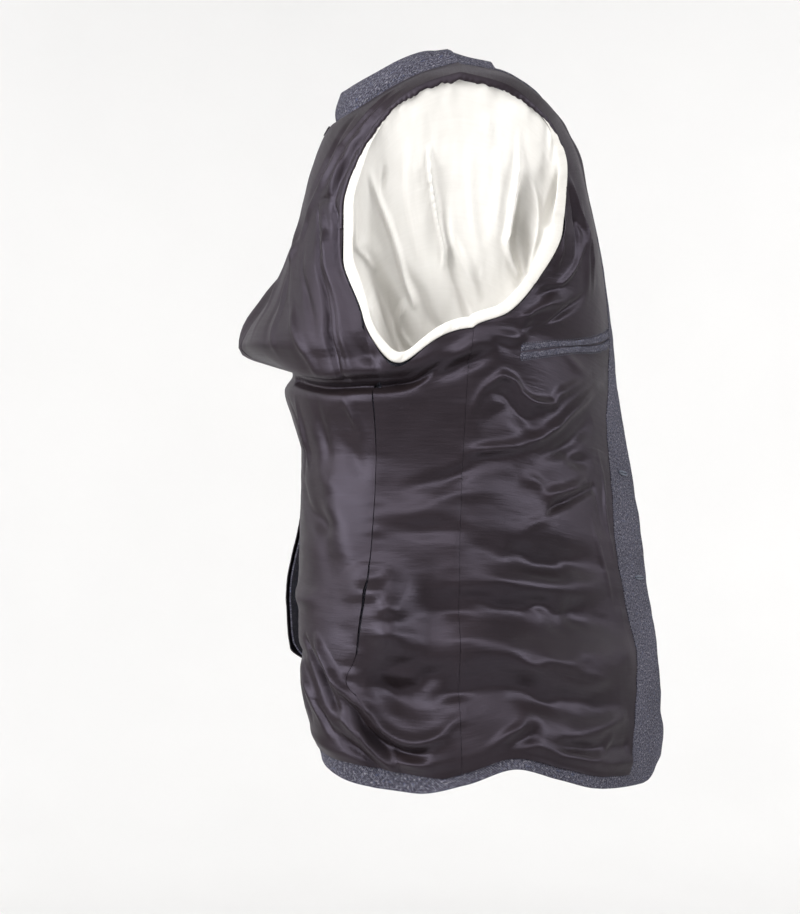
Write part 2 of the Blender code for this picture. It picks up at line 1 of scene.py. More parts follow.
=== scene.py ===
"""Looks for a man's sport coat that is worn inside out: satin lining outside, tweed inside.

Metres, in the CAD's frame: +Z up, the coat's front faces -Y, its left side is -X. As in the CAD, every body
piece lies on one skin: "a" runs round half the coat (0 front edge, 2 side-front seam, 3 side-back seam,
4 centre back) and "v" runs down it (0 shoulder seam, 1 hem). side is -1 on the left half, 1 on the right.
"""
from math import cos, pi, radians, sin

import bpy
import numpy as np
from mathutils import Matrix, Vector


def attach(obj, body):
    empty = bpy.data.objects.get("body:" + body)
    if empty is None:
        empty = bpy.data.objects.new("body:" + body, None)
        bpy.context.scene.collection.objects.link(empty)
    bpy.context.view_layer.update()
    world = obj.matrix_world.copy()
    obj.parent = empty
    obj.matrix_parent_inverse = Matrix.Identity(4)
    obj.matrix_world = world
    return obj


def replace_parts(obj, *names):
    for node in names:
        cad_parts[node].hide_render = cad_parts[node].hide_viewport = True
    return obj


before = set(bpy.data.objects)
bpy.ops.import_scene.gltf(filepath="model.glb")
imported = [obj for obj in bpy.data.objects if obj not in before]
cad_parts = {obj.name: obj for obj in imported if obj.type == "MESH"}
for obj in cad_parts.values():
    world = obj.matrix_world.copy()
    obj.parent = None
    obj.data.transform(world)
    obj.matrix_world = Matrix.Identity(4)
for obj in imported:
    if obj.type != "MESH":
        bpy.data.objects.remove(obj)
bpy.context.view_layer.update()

# ---------------------------------------------------------------- sizes
# As in the CAD, but for two: SEAM_A is 0.0016 there, and the lapel is wider at its lower end there
LINING, TWEED, LAYER, PIECE = 0.0010, 0.0016, 0.0003, 0.0004
SIDE_FRONT, SIDE_BACK, CENTRE_BACK = 2.0, 3.0, 4.0
UNDERARM = 0.46
LENGTH = 0.75
UNDERARM_LOW, UNDERARM_LOW_AT, UNDERARM_END = 0.044, 0.72, 0.55
GORGE, BREAK = 0.06, 0.48
VENT_TOP = 0.70
HEM_TURN = 0.976
CORNER_V, CORNER_A = 0.068, 0.36
SEAM_A = 0.0013

COLUMNS = ("v", "w", "y", "z", "turn", "dip")
FRONT_RAIL = (
    (0.00, .082, -.050, -.005, 0, 12),
    (0.06, .072, -.090, -.010, 0, 15),
    (0.12, .060, -.134, -.036, 2, 17),
    (0.18, .053, -.156, -.070, 4, 13),
    (0.25, .046, -.178, -.122, 6, 7),
    (0.33, .038, -.199, -.200, 8, 3),
    (0.40, .032, -.208, -.265, 12, 0),
    (0.46, .028, -.214, -.325, 18, 0),
    (0.60, .022, -.234, -.445, 20, 0),
    (0.75, .018, -.250, -.555, 20, 0),
    (0.90, .018, -.262, -.665, 20, 0),
    (1.00, .020, -.262, -.748, 20, 0),
)
SIDE_FRONT_RAIL = (
    (0.00, .236, -.048, -.037, 0, 14),
    (0.06, .232, -.091, -.048, 6, 24),
    (0.12, .222, -.120, -.067, 12, 28),
    (0.18, .207, -.141, -.090, 20, 22),
    (0.25, .196, -.153, -.125, 30, 12),
    (0.33, .190, -.150, -.185, 42, 6),
    (0.40, .197, -.122, -.240, 62, 2),
    (0.43, .205, -.096, -.268, 74, 0),
    (0.46, .211, -.062, -.283, 84, 0),
    (0.60, .203, -.052, -.403, 85, 0),
    (0.75, .215, -.048, -.521, 85, 0),
    (0.90, .226, -.048, -.638, 85, 0),
    (1.00, .230, -.050, -.732, 85, 0),
)
SIDE_BACK_RAIL = (
    (0.00, .236, -.048, -.037, 180, -14),
    (0.06, .234, -.020, -.045, 175, -24),
    (0.12, .228, .006, -.058, 168, -26),
    (0.18, .219, .029, -.080, 160, -20),
    (0.25, .211, .049, -.110, 150, -12),
    (0.33, .203, .067, -.165, 135, -5),
    (0.40, .203, .067, -.215, 122, 0),
    (0.46, .211, .046, -.275, 106, 0),
    (0.60, .201, .034, -.403, 106, 0),
    (0.75, .213, .040, -.521, 106, 0),
    (0.90, .219, .054, -.632, 110, 0),
    (1.00, .211, .042, -.728, 112, 0),
)
BACK_RAIL = (
    (0.00, .082, -.050, -.004, 180, -12),
    (0.06, .080, -.015, -.013, 180, -14),
    (0.12, .076, .016, -.027, 178, -15),
    (0.18, .060, .048, -.045, 176, -11),
    (0.22, .034, .069, -.055, 178, -6),
    (0.25, .000, .078, -.058, 180, -3),
    (0.33, .000, .104, -.125, 180, 0),
    (0.40, .000, .112, -.190, 180, 0),
    (0.46, .000, .115, -.250, 180, 0),
    (0.60, .000, .113, -.390, 180, 0),
    (0.75, .000, .115, -.510, 180, 0),
    (0.90, .000, .108, -.625, 180, 0),
    (1.00, .000, .080, -.706, 180, 0),
)
BACK_FOLD = (
    (.36, .000, .000), (.42, .018, .000), (.45, .035, .007), (.475, .058, .015), (.487, .063, .016),
    (.497, .055, .015), (.510, .030, .011), (.520, .010, .006), (.530, .009, .002), (.548, .018, .000),
    (.575, .011, .000), (.61, .000, .000),
)
FOLD_AROUND = ((1.3, 0), (2.0, .05), (2.6, .10), (3.0, .16), (3.4, .36), (3.75, .80), (4.0, 1.0))
HEM_RISE = (
    (.3, 0), (.9, -.003), (1.3, .006), (1.65, .016), (2.0, 0), (2.5, -.010), (2.9, -.008), (3.4, .006),
    (4.0, 0),
)
FACING_SEAM = (
    (0, .10), (.40, .14), (.46, .22), (.52, .42), (.60, .50), (.68, .56), (.76, .47), (.84, .44),
    (.92, .52), (1, .62),
)
LAPEL_ROLL = 0.006
LAPEL_WIDTH = ((.06, .034), (.12, .078), (.18, .082), (.30, .066), (.40, .036), (.48, .008))
COLLAR_STAND, COLLAR_FALL, COLLAR_ROLL = 0.031, 0.026, 0.005
COLLAR_LEAN = ((0, 62), (.25, 60), (.5, 52), (.75, 22), (1, 6))
COLLAR_SEAT, COLLAR_END = 0.0022, 0.55
NECK_MIDDLE_Y = -0.02
SLEEVE = (
    (-.365, .170, -.022, .086, .021),
    (-.460, .168, -.026, .080, .020),
    (-.560, .172, -.030, .074, .019),
    (-.650, .176, -.033, .070, .018),
)
BORDER_WIDTH, BORDER_WIDTH_TOP, BORDER_THICK, BORDER_GAP = 0.0105, 0.0035, 0.0030, 0.0012
POCKET = ((.20, .421), (.86, .445), (1.14, .460), (1.40, .475), (1.60, .485))
JET = 0.0065
BUTTON_A, BUTTON_V = 0.15, (.580, .725)
BUTTON_R, BUTTON_THICK = 0.0105, 0.0035
TAB, BACK_WIDTH = 0.032, 0.24

# The looks' own
BUTTONHOLE_A = (0.16, 0.10)     # each buttonhole's outer end lies near this
GIRTH = (0, .27, .36, .58)      # metres round: front edge, side-front and side-back seams, centre back
FINE = 1.0


# ---------------------------------------------------------------- the skin
def along(table, at, column=1):
    """A smooth curve through a table's rows that never overshoots them."""
    xs = np.array([row[0] for row in table], float)
    ys = np.array([row[column] for row in table], float)
    at = np.clip(np.asarray(at, float), xs[0], xs[-1])
    slope = np.diff(ys) / np.diff(xs)
    before, after = slope[:-1], slope[1:]
    total = np.where(before + after == 0, 1, before + after)
    bend = np.where(before * after <= 0, 0, 2 * before * after / total)
    tangent = np.concatenate((slope[:1], bend, slope[-1:]))
    i = np.clip(np.searchsorted(xs, at, side="right") - 1, 0, len(xs) - 2)
    step = xs[i + 1] - xs[i]
    t = (at - xs[i]) / step
    h00, h10 = (1 + 2 * t) * (1 - t) ** 2, t * (1 - t) ** 2
    h01, h11 = t * t * (3 - 2 * t), t * t * (t - 1)
    return h00 * ys[i] + h10 * step * tangent[i] + h01 * ys[i + 1] + h11 * step * tangent[i + 1]


def ease(t):
    """0 to 1, smoothly, as t goes from 0 to 1."""
    t = np.clip(t, 0.0, 1.0)
    return t * t * (3 - 2 * t)


def bell(t):
    return np.exp(-t * t)


def unit(p):
    return p / np.maximum(np.linalg.norm(p, axis=-1, keepdims=True), 1e-12)


def run_of(line):
    """How far along a line each of its points lies."""
    return np.concatenate(((0,), np.cumsum(np.linalg.norm(np.diff(line, axis=0), axis=1))))


def bezier(p0, p1, p2, p3, t):
    r = 1 - t
    return p0 * r ** 3 + p1 * 3 * r * r * t + p2 * 3 * r * t * t + p3 * t ** 3


def xyz(x, y, z):
    return np.stack(np.broadcast_arrays(x, y, z), axis=-1).astype(float)


def rail(table, v):
    """A rail's points, and the way that the cloth runs across it."""
    w, y, z, turn, dip = (along(table, v, COLUMNS.index(name)) for name in COLUMNS[1:])
    turn, dip = np.radians(turn), np.radians(dip)
    return xyz(w, y, z), xyz(np.cos(turn) * np.cos(dip), np.sin(turn) * np.cos(dip), -np.sin(dip))


def stretch(first, second, s, v, last_turn=None):
    """The cloth between two rails, and its outward direction, level."""
    p0, d0 = rail(first, v)
    p3, d3 = rail(second, v)
    if last_turn is not None:
        d3 = xyz(np.full(v.shape, cos(last_turn)), sin(last_turn), 0)
    reach = 0.37 * np.linalg.norm(p3 - p0, axis=-1, keepdims=True)
    p1, p2 = p0 + d0 * reach, p3 - d3 * reach
    s = s[..., None]
    r = 1 - s
    way = (p1 - p0) * r * r + (p2 - p1) * 2 * r * s + (p3 - p2) * s * s
    return bezier(p0, p1, p2, p3, s), unit(xyz(way[..., 1], -way[..., 0], 0))


def skin(a, v, side):
    """Points of the skin as (w, y, z), w sideways from the coat's middle plane."""
    a, v = np.broadcast_arrays(np.asarray(a, float), np.asarray(v, float))
    point, outward = np.zeros(a.shape + (3,)), np.zeros(a.shape + (3,))
    for where, first, second, s, turn in (
        (a <= SIDE_FRONT, FRONT_RAIL, SIDE_FRONT_RAIL, a / SIDE_FRONT, None),
        ((a > SIDE_FRONT) & (a <= SIDE_BACK), SIDE_FRONT_RAIL, SIDE_BACK_RAIL, a - SIDE_FRONT, radians(96)),
        (a > SIDE_BACK, SIDE_BACK_RAIL, BACK_RAIL, a - SIDE_BACK, None),
    ):
        if where.any():
            point[where], outward[where] = stretch(first, second, s[where], v[where], turn)
    amount = along(FOLD_AROUND, a)
    if side > 0:
        amount = amount * (1 + 0.10 * bell((point[..., 0] - 0.04) / 0.03))
    out = along(BACK_FOLD, v, 1) * amount + vent_push(a, v, side)
    point = point + outward * out[..., None]
    point[..., 2] += along(HEM_RISE, a) * ease((v - .80) / .20) - along(BACK_FOLD, v, 2) * amount
    return point


def vent_push(a, v, side):
    """The vent's two edges part: the right one stands out, the left one lies a little in."""
    down = ease((v - VENT_TOP + .01) / .13) * (1 - ease((v - .884) / .022))
    return down * ease((a - 3.45) / .55) * (0.017 if side > 0 else -0.003)


def over_shoulder(a):
    """The column that meets this one at the shoulder seam."""
    return np.where(a <= SIDE_FRONT, SIDE_BACK + 1 - a / SIDE_FRONT, SIDE_FRONT * (CENTRE_BACK - a))


def outward_of(a, v, side):
    """The skin's outward direction."""
    step = 0.004
    a, v = np.broadcast_arrays(np.asarray(a, float), np.asarray(v, float))
    low, high = np.maximum(0.0, a - step), np.minimum(CENTRE_BACK, a + step)
    for seam in (SIDE_FRONT, SIDE_BACK):
        over = (low < seam) & (high > seam)
        low = np.where(over & (a > seam), seam + 1e-6, low)
        high = np.where(over & (a <= seam), seam, high)
    round_way = skin(high, v, side) - skin(low, v, side)
    past = v < step
    above = skin(np.where(past, over_shoulder(a), a), np.where(past, step - v, v - step), side)
    down_way = skin(a, np.minimum(1.0, v + step), side) - above
    return unit(np.cross(down_way, round_way))


# ---------------------------------------------------------------- creases
def metres(a, v):
    """Lengths along the cloth: round from the front edge, and down from the shoulder."""
    return np.interp(a, (0, SIDE_FRONT, SIDE_BACK, CENTRE_BACK), GIRTH), np.asarray(v) * LENGTH


def noise(x, y, seed):
    """Soft random hills about 1 apart, from -1 to 1."""
    spots = np.random.default_rng(seed).uniform(-1, 1, (64, 64))
    i, j = np.floor(x).astype(int), np.floor(y).astype(int)
    s, t = ease(x - i), ease(y - j)
    i, j, i1, j1 = i % 64, j % 64, (i + 1) % 64, (j + 1) % 64
    before, after = (spots[i, k] * (1 - s) + spots[i1, k] * s for k in (j, j1))
    return before * (1 - t) + after * t


def hills(x, y, seed):
    """The same in three sizes."""
    total = noise(x, y, seed) + 0.5 * noise(2.1 * x, 2.1 * y, seed + 1)
    return (total + 0.25 * noise(4.3 * x, 4.3 * y, seed + 2)) / 1.5


def smooth_line(points, count=33):
    """A smooth line through points, each with its height."""
    points = np.array(points, float)
    if len(points) == 2:
        t = np.linspace(0, 1, count)[:, None]
        return points[0] * (1 - t) + points[1] * t
    ends = np.vstack((2 * points[0] - points[1], points, 2 * points[-1] - points[-2]))
    spots = np.linspace(0, len(points) - 1, count)
    i = np.minimum(spots.astype(int), len(points) - 2)
    t = (spots - i)[:, None]
    p0, p1, p2, p3 = ends[i], ends[i + 1], ends[i + 2], ends[i + 3]
    bend, twist = 2 * p0 - 5 * p1 + 4 * p2 - p3, 3 * p1 - p0 - 3 * p2 + p3
    return 0.5 * (2 * p1 + (p2 - p0) * t + bend * t * t + twist * t ** 3)


def crease(x, y, points, width, lean):
    """One crease's height, in metres, at points x, y. Its points are (x, y, height in metres).

    A ridge is above 0 and a trough below it. A crease that leans is steep on one side, with a dip beside it.
    """
    line = smooth_line(points)
    height = np.zeros(x.shape)
    reach = 3.2 * width
    near = (x > line[:, 0].min() - reach) & (x < line[:, 0].max() + reach)
    near &= (y > line[:, 1].min() - reach) & (y < line[:, 1].max() + reach)
    if not near.any():
        return height
    px, py = x[near], y[near]
    ways = np.gradient(line[:, :2], axis=0)
    step = np.linalg.norm(ways, axis=1)
    ways /= step[:, None]
    k = np.argmin((px[:, None] - line[:, 0]) ** 2 + (py[:, None] - line[:, 1]) ** 2, axis=1)
    dx, dy = px - line[k, 0], py - line[k, 1]
    onward = dx * ways[k, 0] + dy * ways[k, 1]
    across = dx * ways[k, 1] - dy * ways[k, 0]
    last = len(line) - 1
    beyond = np.where(((k == 0) & (onward < 0)) | ((k == last) & (onward > 0)), np.abs(onward), 0)
    size = np.interp(k + onward / step[k], np.arange(last + 1), line[:, 2])
    q = across / width
    height[near] = size * bell(q) * (1 + 2 * lean * q) * bell(beyond / width)
    return height


CREASE_HEIGHT = 1.5     # every crease of the body stands this many times its height below

# The near half's creases. Each has its width and lean, then points as (a, v, height in millimetres).
CREASES = (
    # puckers below the breast pocket
    (4.4, .25, ((1.96, .555, .5), (1.9, .535, 2.2), (1.84, .525, 3), (1.76, .515, 3.3), (1.7, .515, 3.1),
                (1.62, .52, 2.6), (1.56, .53, 2.3), (1.44, .536, 2.7), (1.26, .53, 2.8), (1.16, .515, 2.6),
                (.7, .475, 0))),
    (5, 0, ((1.82, .538, 0), (1.7, .538, -2.8), (1.62, .546, -3.2), (1.5, .556, -2.6), (1.34, .548, 0))),
    (8, -.2, ((1.9, .578, 0), (1.7, .556, -2.6), (1.5, .566, -2.4), (1.34, .566, 0))),
    (5.4, .35, ((1.98, .6, 1), (1.82, .595, 3.2), (1.66, .59, 3.8), (1.5, .58, 3.6), (1.34, .565, 3.8),
                (1.2, .55, 4), (1.04, .53, 3.6), (.7, .495, 2), (.3, .462, 0))),
    (6.5, -.2, ((1.46, .604, 0), (1.16, .582, -3.6), (.9, .552, -2.6), (.7, .53, 0))),
    (7, -.1, ((2.75, .648, 0), (2.42, .641, -2.4), (2.16, .636, -3.4), (1.88, .618, -2.6), (1.6, .603, 0))),
    (8, .15, ((2.6, .668, 0), (2.2, .66, 1.6), (1.9, .65, 1.6), (1.6, .64, 0))),
    (3.4, .1, ((1.36, .668, 0), (1.26, .656, -3.2), (1.12, .643, -4), (.94, .626, -3), (.74, .608, 0))),
    (5.5, .3, ((1.42, .648, 0), (1.26, .636, 2.6), (1.08, .624, 3), (.88, .604, 0))),
    (5, .1, ((1.28, .672, 0), (1.44, .682, 1.4), (1.6, .7, 0))),
    (6, .1, ((1.58, .628, 0), (1.44, .628, 2.2), (1.32, .638, 0))),
    (6, 0, ((1.16, .59, 0), (.98, .588, -2.4), (.76, .58, 0))),
    # between the armhole and the breast pocket, and down beside the front edge
    (5, .2, ((2, .255, 0), (1.8, .285, 3), (1.62, .31, 3.2), (1.38, .335, 3), (1.2, .36, 2.4),
             (.92, .385, 0))),
    (4.6, 0, ((1.96, .27, 0), (1.78, .305, -2.8), (1.7, .335, -2.8), (1.62, .375, 0))),
    (4.4, .1, ((2.02, .3, 0), (1.97, .345, 2.4), (1.82, .388, 0))),
    (3, 0, ((1.92, .406, 0), (1.76, .405, -2.6), (1.58, .394, 0))),
    (4.6, .2, ((1.88, .436, 0), (1.78, .42, 2.6), (1.68, .415, 2.6), (1.44, .409, 0))),
    (3.8, 0, ((1.56, .437, 0), (1.44, .42, -2.6), (1.2, .399, 0))),
    (3.8, .3, ((1.94, .424, 0), (1.72, .44, 2.4), (1.54, .466, 0))),
    (7, .1, ((2.34, .5, 1), (2.1, .489, 3.6), (1.96, .476, 3.6), (1.8, .47, 3), (1.64, .464, 2),
             (1.52, .448, 0))),
    (6, 0, ((2.34, .52, -1), (2.08, .51, -3.6), (1.94, .5, -3.2), (1.8, .488, 0))),
    # from the pocket to the facing, and along the front of the armhole
    (6, .2, ((1.22, .452, 0), (.96, .472, 1.8), (.64, .472, 0))),
    (5, 0, ((2.02, .47, 0), (1.84, .474, -1.8), (1.64, .486, 0))),
    (7, .2, ((1.58, .29, 0), (1.4, .352, 2.2), (1.06, .4, 0))),
    (6, 0, ((1.8, .424, 0), (1.62, .38, 1.8), (1.46, .32, 0))),
    (6, .2, ((1.9, .31, 0), (1.6, .318, -1.8), (1.24, .335, 0))),
    (8, 0, ((1.2, .12, 0), (.9, .23, 2), (.66, .33, 0))),
    # broad folds across the lower front and side
    (19, 0, ((2.05, .728, 0), (1.62, .735, -6.3), (1.24, .731, -7.7), (.72, .712, 0))),
    (17, .1, ((2.1, .766, 2.8), (1.75, .763, 6.3), (1.3, .76, 6.3), (.7, .742, 0))),
    (24, 0, ((2.62, .8, 0), (2.3, .806, -6.3), (1.9, .797, -7.7), (1.3, .792, -9.1), (.56, .782, 0))),
    (22, .1, ((2.3, .846, 0), (1.9, .842, 4.9), (1.4, .868, 6.3), (.62, .842, 2.8))),
    (20, 0, ((2.9, .892, 0), (2.5, .905, -8.4), (2, .905, -7), (1.4, .914, -6.3), (.7, .9, 0))),
    (26, 0, ((3.05, .74, 1.4), (2.86, .79, 7.7), (2.74, .835, 8.4), (2.6, .872, 1.4))),
    (9, 0, ((2.98, .7, 0), (2.46, .7, -2.6), (2.04, .7, -1))),
    (9, 0, ((3, .678, 0), (2.46, .677, 2.2), (2.06, .68, 1.6))),
    (4.5, .2, ((1.86, .968, 0), (1.66, .955, 2.8), (1.54, .928, 0))),
    (5, -.1, ((1.74, .975, 0), (1.56, .965, -3.2), (1.48, .938, 0))),
    (8, .2, ((1.3, .956, 0), (1.1, .938, 3.6), (.86, .925, 3.6), (.6, .915, 0))),
    (6, 0, ((1.5, .973, 0), (1.16, .96, -4), (.66, .952, -2))),
    (5, .3, ((1.06, .972, 0), (.92, .955, 2), (.8, .938, 0))),
    # the line where the cloth above hangs over the side, below the armhole
    (8, .1, ((3.6, .51, 1.5), (3.26, .511, 5), (3.04, .507, 6), (2.8, .505, 5.5), (2.5, .5, 3.5),
             (2.2, .482, 0))),
    (3.4, .2, ((3.6, .531, -3), (3.26, .532, -6), (3.04, .529, -6.5), (2.8, .528, -5.5), (2.5, .521, -3.2),
               (2.15, .492, 0))),
    (6.5, 0, ((3.3, .548, 0), (3, .543, 1.5), (2.7, .542, 2), (2.4, .538, 0))),
    # narrow folds that run down beside the facing
    (2.6, .2, ((.68, .56, 0), (.63, .6, .9), (.655, .64, 1.3), (.61, .69, .5), (.6, .71, 0))),
    (3.2, -.1, ((.84, .59, 0), (.75, .64, -.8), (.72, .68, 0))),
    (3.4, .2, ((.86, .65, 0), (.78, .7, .9), (.68, .75, .5), (.64, .79, 0))),
    # the bunched cloth at the lower back corner of the side
    (24, 0, ((3.02, .72, 0), (2.86, .775, 3), (2.68, .82, 4.2), (2.58, .858, 3.2), (2.62, .89, 0))),
    (15, 0, ((2.76, .868, 0), (2.56, .878, -3.6), (2.36, .88, -4.4), (2.16, .874, -3), (1.98, .872, 0))),
    (4, .1, ((3.38, .846, 0), (3.3, .866, -4.5), (3.22, .886, -6.5), (3.17, .902, -5), (3.12, .92, -6),
             (3.06, .933, 0))),
    (5, .3, ((3.26, .838, 0), (3.14, .878, 5), (3.06, .902, 5), (3.01, .915, 3.5), (2.96, .925, 0))),
    (5, 0, ((3.44, .876, 0), (3.33, .905, 4.5), (3.24, .928, 4.5), (3.17, .948, 0))),
    (3.8, .1, ((3.07, .908, 0), (3.01, .925, -5.5), (2.94, .939, -6.5), (2.84, .951, -6), (2.68, .963, 0))),
    (4.8, .1, ((3.1, .928, 1), (3.01, .945, 5), (2.92, .958, 5.5), (2.78, .97, 4), (2.62, .982, 0))),
    (3.6, 0, ((3.16, .944, 0), (3.06, .959, -4), (2.95, .971, -4.5), (2.8, .984, 0))),
    (5.4, .2, ((3.03, .898, 0), (2.94, .916, 3.5), (2.84, .93, 4.2), (2.74, .94, 4.6), (2.58, .947, 4.6),
               (2.36, .948, 4.4), (2.18, .943, 3.4), (2.04, .932, 1.5), (1.94, .922, 0))),
    (3.6, 0, ((2.86, .944, 0), (2.74, .953, -3), (2.58, .96, -3.6), (2.4, .961, -2.5), (2.26, .957, 0))),
    (10, 0, ((2.9, .878, 0), (2.72, .9, -4.5), (2.54, .915, -4), (2.36, .918, -2), (2.24, .915, 0))),
    (4, 0, ((3.62, .9, 0), (3.44, .926, -4), (3.28, .952, 0))),
    (5, .2, ((2.7, .968, 0), (2.5, .968, 3.8), (2.24, .976, 0))),
    (4, 0, ((3.34, .905, 0), (3.2, .935, -3.5), (3.1, .962, 0))),
    # the long tube of cloth beside the back of the armhole
    (5, .3, ((3.3, .12, 0), (3.22, .165, 2.2), (3.2, .205, 2.4), (3.18, .245, 2.7), (3.18, .285, 2.6),
             (3.24, .32, 2.2), (3.32, .355, 1.7), (3.36, .39, 0))),
    (5, 0, ((3.62, .19, 0), (3.36, .228, -2.2), (3.28, .27, -2.6), (3.29, .3, -2.2), (3.33, .335, 0))),
    (6, .1, ((3.14, .11, 0), (3.1, .16, 2.5), (3.09, .21, 3.2), (3.085, .26, 3.2), (3.1, .3, 2.5),
             (3.13, .318, 0))),
    (3.2, .1, ((3.01, .13, 0), (3.03, .19, -2.5), (3.05, .245, -3.2), (3.06, .285, -3.6),
               (3.065, .315, -2.9), (3.045, .345, -2.9), (3.03, .378, -3.2), (3.01, .41, -2.5),
               (3, .445, 0))),
    (2, 0, ((3.21, .326, 0), (3.14, .32, -1.9), (3.07, .316, -0.7))),
    (3, .8, ((3.2, .326, 0), (3.16, .36, -2.9), (3.13, .395, -3.3), (3.125, .425, -3.3), (3.14, .46, -3.2),
             (3.12, .492, -2.9), (3.09, .518, -1.4))),
    (5, .2, ((3.15, .335, 1.1), (3.09, .38, 3), (3.07, .42, 2.9), (3.08, .46, 2.6), (3.06, .495, 2.2),
             (3.05, .515, 0))),
    (3.5, 0, ((3.1, .316, 0), (3.03, .35, -1.9), (2.99, .395, 0))),
    (5, .3, ((3.44, .43, 0), (3.34, .468, 2), (3.25, .498, 1.7), (3.22, .515, 0))),
    (5, -.2, ((3.3, .38, 0), (3.26, .44, -1.4), (3.2, .485, 0))),
    (9, 0, ((3.52, .35, 0), (3.42, .4, 1.8), (3.4, .45, 0))),
    (6, .3, ((3.66, .33, 0), (3.5, .37, 1.2), (3.36, .42, 0))),
    (4.4, .3, ((3.3, .355, 0), (3.42, .4, 1.2), (3.5, .435, 1.8), (3.52, .47, 1.4), (3.48, .5, 0))),
    (4, -.2, ((3.42, .39, 0), (3.52, .425, -1.3), (3.6, .455, -1.5), (3.56, .49, 0))),
    (5, .3, ((3.54, .38, 0), (3.66, .415, 1.2), (3.74, .445, 1.5), (3.76, .485, 0))),
    (5, .2, ((3.02, .47, 0), (2.98, .495, -3), (2.9, .512, 0))),
    (5, .2, ((2.96, .462, 0), (2.86, .486, 2.6), (2.72, .503, 0))),
    # below the big fold
    (5, .2, ((3.56, .545, 0), (3.5, .59, 3), (3.47, .635, 0))),
    (5, -.2, ((3.7, .55, 0), (3.6, .6, -2.6), (3.56, .65, 0))),
    (4.5, .3, ((3.14, .535, 0), (3.08, .565, 2.4), (3.05, .59, 0))),
    (7, 0, ((3.32, .54, 0), (3.28, .59, -2.2), (3.24, .64, 0))),
    # soft slanting folds break up the light on the lower back
    (16, 0, ((3.5, .56, 0), (3.32, .61, 2.4), (3.18, .68, 3.2), (3.1, .76, 0))),
    (12, 0, ((3.46, .64, 0), (3.3, .7, -2.4), (3.16, .77, 0))),
    (10, 0, ((3.24, .56, 0), (3.12, .604, -2), (3.03, .65, 0))),
    (9, 0, ((3.66, .64, 0), (3.4, .69, -3), (3.1, .7, 0))),
    (10, 0, ((3.8, .78, 0), (3.5, .8, 3.5), (3.2, .79, 0))),
    (9, 0, ((3.8, .86, 0), (3.55, .88, -4), (3.3, .87, 0))),
)

# The far half's own, alike but not the same
FAR_CREASES = (
    # its side of the big fold stands out further than the near side's
    (12, 0, ((3.83, .42, 0), (3.84, .441, 8), (3.85, .46, 11), (3.86, .478, 8), (3.88, .498, 0))),
    (7, .2, ((1.8, .56, 0), (1.56, .545, 3), (1.2, .52, 2.6), (.8, .49, 0))),
    (7, -.1, ((1.86, .6, 0), (1.5, .59, -3.2), (1, .556, -2.2), (.7, .54, 0))),
    (8, .2, ((2.3, .62, 0), (1.9, .625, 3), (1.4, .6, 3.4), (1, .584, 0))),
    (5, .1, ((1.4, .66, 0), (1.2, .652, -3), (.9, .634, 0))),
    (15, 0, ((2.4, .74, 0), (1.8, .722, -5), (1.1, .72, -4), (.7, .7, 0))),
    (14, 0, ((2.6, .776, 0), (2, .77, 4.5), (1.3, .75, 3.5), (.6, .745, 0))),
    (18, 0, ((2.8, .82, 0), (2.2, .826, -5), (1.5, .8, -6), (.6, .8, 0))),
    (16, 0, ((2.6, .87, 0), (2, .872, 4), (1.4, .86, 3.5), (.6, .85, 0))),
    (15, 0, ((2.9, .92, 0), (2.3, .918, -5), (1.5, .925, -4), (.8, .905, 0))),
    (7, .2, ((2.7, .93, 0), (2.3, .95, 4.5), (1.9, .94, 2), (1.7, .93, 0))),
    (4, .2, ((3.2, .88, 0), (3.08, .915, -5), (2.9, .935, -4.5), (2.66, .955, 0))),
    (6, -.2, ((3.16, .92, 0), (3, .94, 4.5), (2.76, .965, 0))),
    (8, .1, ((3.46, .19, 0), (3.26, .24, 4), (3.16, .3, 4), (3.12, .33, 0))),
    (5, 0, ((3.12, .22, 0), (3.06, .27, -4), (3.09, .32, 0))),
    (4.5, .7, ((3.26, .33, 0), (3.2, .4, -3.4), (3.16, .46, -3.6), (3.08, .51, 0))),
    (6, .2, ((3.06, .35, 0), (3.04, .41, 3), (3, .46, 0))),
    (6, .3, ((3.6, .4, 0), (3.44, .45, 2.6), (3.36, .5, 0))),
    (7, .2, ((3.74, .56, 0), (3.62, .61, 3), (3.58, .66, 0))),
    (6, -.1, ((3.4, .55, 0), (3.32, .6, -2.6), (3.26, .65, 0))),
    (10, 0, ((3.8, .68, 0), (3.5, .7, -3), (3.2, .69, 0))),
    (10, 0, ((3.8, .8, 0), (3.5, .79, 3), (3.2, .81, 0))),
    (8, .1, ((1.7, .25, 0), (1.4, .34, 2.6), (1, .39, 0))),
    (7, 0, ((1.9, .36, 0), (1.6, .39, -2.4), (1.3, .44, 0))),
    (7, .2, ((1.5, .43, 0), (1.1, .452, 2.6), (.6, .45, 0))),
)


def side_top(a):
    """Where the side body stops below the armhole, as v."""
    s = np.clip(a - SIDE_FRONT, 0, 1)
    bent = s ** (np.log(0.5) / np.log(UNDERARM_LOW_AT))
    return UNDERARM + UNDERARM_LOW * np.maximum(0.0, np.sin(pi * bent)) ** 0.8


def side_v(a, v):
    """A row of the side body: on the armhole's lower edge at first, level further down."""
    return v + (side_top(a) - UNDERARM) * np.clip((UNDERARM_END - v) / (UNDERARM_END - UNDERARM), 0, 1)


